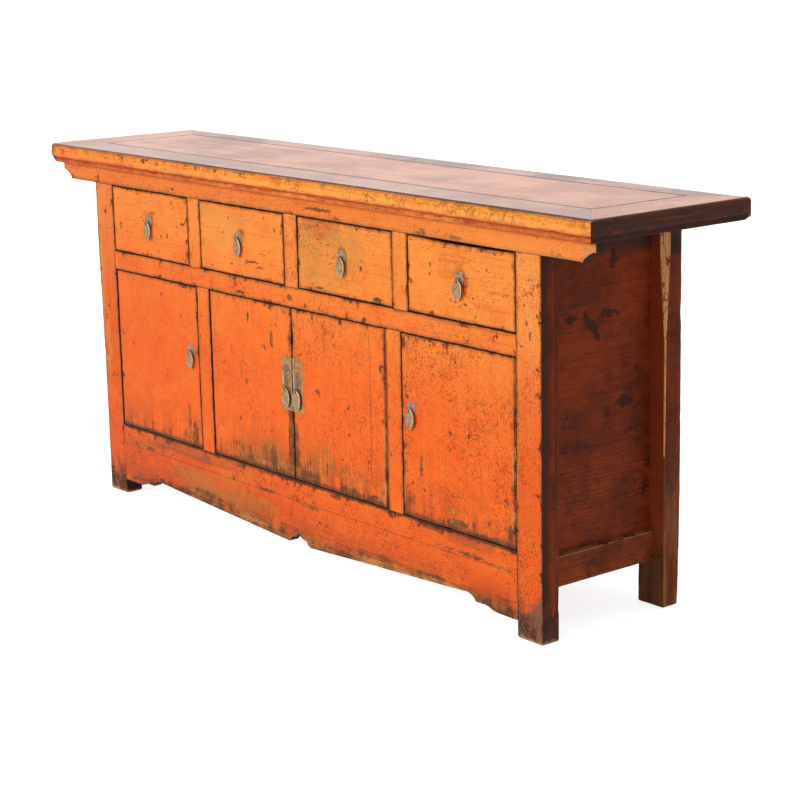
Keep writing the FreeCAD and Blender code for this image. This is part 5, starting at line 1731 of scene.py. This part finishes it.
def buckled(place):
    """The unevenness of a thin plate."""
    place.y += 0.12 * MM * noise.noise(place * 60)
    place.x += 0.3 * MM * noise.noise(place * 40 + Vector((7, 0, 0)))
    return place


def build_lock_plate(side_name, body, centre):
    """A plain upright plate with an iron staple over the ring of its drop."""
    node = f"lock_plate_{side_name}"
    aside = Vector((MEETING, 0, 0))
    solids = sorted(solids_of(node), key=lambda pair: pair[1].z - pair[0].z)
    low, high = solids[-1]
    Board().add(low + aside, high + aside, ease=0.4 * MM, step=5 * MM, bend=buckled,
                seed=151).make(f"{node}_sheet", MATERIALS["lock"], body, "lock_brass", [node])
    least, most = STAPLE_HEIGHTS
    staple = next(pair for pair in solids if least < pair[1].z - pair[0].z < most)
    low, high = (corner + aside for corner in staple)
    iron = Board()
    bars = ((low, (high.x, low.y + STAPLE_BAR, high.z)),
            (low, (high.x, high.y, low.z + STAPLE_BAR)),
            ((low.x, low.y, high.z - STAPLE_BAR), high))
    for number, (start, end) in enumerate(bars):
        iron.add(start, end, step=6 * MM, seed=152 + number)
    iron.make(f"{node}_staple", MATERIALS["iron"], body, "grey_bronze")
    form = Round()
    build_ring(form, centre)
    form.make(f"{node}_ring", MATERIALS["iron"], body, "grey_bronze")


def build_pulls():
    """Plates, rings and drops. Each drop hangs where its own joint is."""
    anchors = {joint["child"]: Vector(joint["pos_m"]) for joint in frame["joints"]
               if joint["type"] == "hinge"}
    for number, drawer in enumerate(DRAWERS):
        name = f"drawer_{number + 1}"
        centre = anchors[f"{name}_drop_piece"]
        centre.x += drawer["aside"] * MM
        build_escutcheon(f"{name}_plate", f"{name}_pull_plate", name, centre)
        build_drop(f"{name}_pendant", f"{name}_drop", f"{name}_drop_piece", centre, number)
    for side in ("left", "right"):
        name = f"door_{side}"
        centre = anchors[f"{name}_drop_piece"]
        build_escutcheon(f"{name}_plate", f"{name}_pull_plate", f"{name}_leaf", centre)
        build_drop(f"{name}_pendant", f"{name}_drop", f"{name}_drop_piece", centre, 5)
        centre = anchors[f"lock_drop_{side}_piece"]
        centre.x += MEETING
        build_lock_plate(side, f"door_centre_{side}_leaf", centre)
        build_drop(f"lock_pendant_{side}", f"lock_drop_{side}", f"lock_drop_{side}_piece", centre,
                   6)


build_top()
build_posts()
build_rails()
build_apron()
build_sides()
build_back_and_inside()
build_drawers()
build_doors()
build_pulls()


# Floor, light and camera

WHITE = (1, 1, 1, 1)
PAPER = (0.85, 0.85, 0.85, 1)
FLOOR_REACH = 60
FLOOR_GLOW = 0.8
SKY_LIGHT = 0.42
CAMERA_PLACE = (3.738, -2.9167, 1.446)
CAMERA_YAW = math.radians(50.97)
CAMERA_PITCH = math.radians(13.16)
CAMERA_ROLL = math.radians(-1.11)
LENS = 94.7
SENSOR = 36


def studio_white(nodes, seen_shader, lit_shader):
    """White where the camera or a reflection meets it, and the lit shader for all other light."""
    camera, glossy, clear = (nodes.add("ShaderNodeLightPath", {}, {}, f"Is {kind} Ray")
                             for kind in ("Camera", "Glossy", "Transmission"))
    direct = nodes.larger(nodes.larger(camera, glossy), clear)
    return nodes.add("ShaderNodeMixShader", {}, {0: direct, 1: lit_shader, 2: seen_shader})


def build_floor():
    """A wide sheet of white paper."""
    corners = [(x * FLOOR_REACH, y * FLOOR_REACH, 0) for x, y in ((-1, -1), (1, -1), (1, 1), (-1, 1))]
    mesh = bpy.data.meshes.new("studio_floor")
    mesh.from_pydata(corners, [], [(0, 1, 2, 3)])
    floor = bpy.data.objects.new("studio_floor", mesh)
    bpy.context.scene.collection.objects.link(floor)
    material = bpy.data.materials.new("floor_paper")
    material.use_nodes = True
    nodes = Nodes(material.node_tree)
    paper = nodes.add("ShaderNodeBsdfDiffuse", {}, {"Color": PAPER})
    glow = nodes.add("ShaderNodeEmission", {}, {"Color": WHITE, "Strength": FLOOR_GLOW})
    glowing = nodes.add("ShaderNodeAddShader", {}, {0: paper, 1: glow})
    nodes.add("ShaderNodeOutputMaterial", {}, {"Surface": studio_white(nodes, glowing, paper)})
    mesh.materials.append(material)


def build_world():
    """A white backdrop that gives only a soft light."""
    world = bpy.data.worlds.new("studio")
    world.use_nodes = True
    nodes = Nodes(world.node_tree)
    white = nodes.add("ShaderNodeBackground", {}, {"Color": WHITE, "Strength": 1})
    soft = nodes.add("ShaderNodeBackground", {}, {"Color": WHITE, "Strength": SKY_LIGHT})
    nodes.add("ShaderNodeOutputWorld", {}, {"Surface": studio_white(nodes, white, soft)})
    bpy.context.scene.world = world


def soft_box(name, place, target, size, power):
    """A large square lamp that faces a target."""
    lamp = bpy.data.lights.new(name, "AREA")
    lamp.shape = "SQUARE"
    lamp.size = size
    lamp.energy = power
    item = bpy.data.objects.new(name, lamp)
    item.location = place
    item.rotation_euler = (Vector(target) - Vector(place)).to_track_quat("-Z", "Y").to_euler()
    bpy.context.scene.collection.objects.link(item)


def build_camera():
    """The camera, where the photograph's own was."""
    ahead = Vector((-math.sin(CAMERA_YAW) * math.cos(CAMERA_PITCH),
                    math.cos(CAMERA_YAW) * math.cos(CAMERA_PITCH), -math.sin(CAMERA_PITCH)))
    right = Vector((math.cos(CAMERA_YAW), math.sin(CAMERA_YAW), 0))
    up = right.cross(ahead)
    tilted_right = right * math.cos(CAMERA_ROLL) + up * math.sin(CAMERA_ROLL)
    tilted_up = up * math.cos(CAMERA_ROLL) - right * math.sin(CAMERA_ROLL)
    data = bpy.data.cameras.new("camera")
    data.sensor_width = SENSOR
    data.lens = LENS
    camera = bpy.data.objects.new("camera", data)
    turn = Matrix((tilted_right, tilted_up, -ahead)).transposed().to_4x4()
    camera.matrix_world = Matrix.Translation(CAMERA_PLACE) @ turn
    bpy.context.scene.collection.objects.link(camera)
    bpy.context.scene.camera = camera


build_floor()
build_world()
soft_box("key_light", (-3.4, -13, 5.3), (0, -0.1, 0.5), 3.7, 1050)
soft_box("top_light", (0.2, -0.6, 3.6), (0, 0, 0.8), 2.4, 45)
build_camera()
bpy.context.scene.view_settings.view_transform = "Standard"
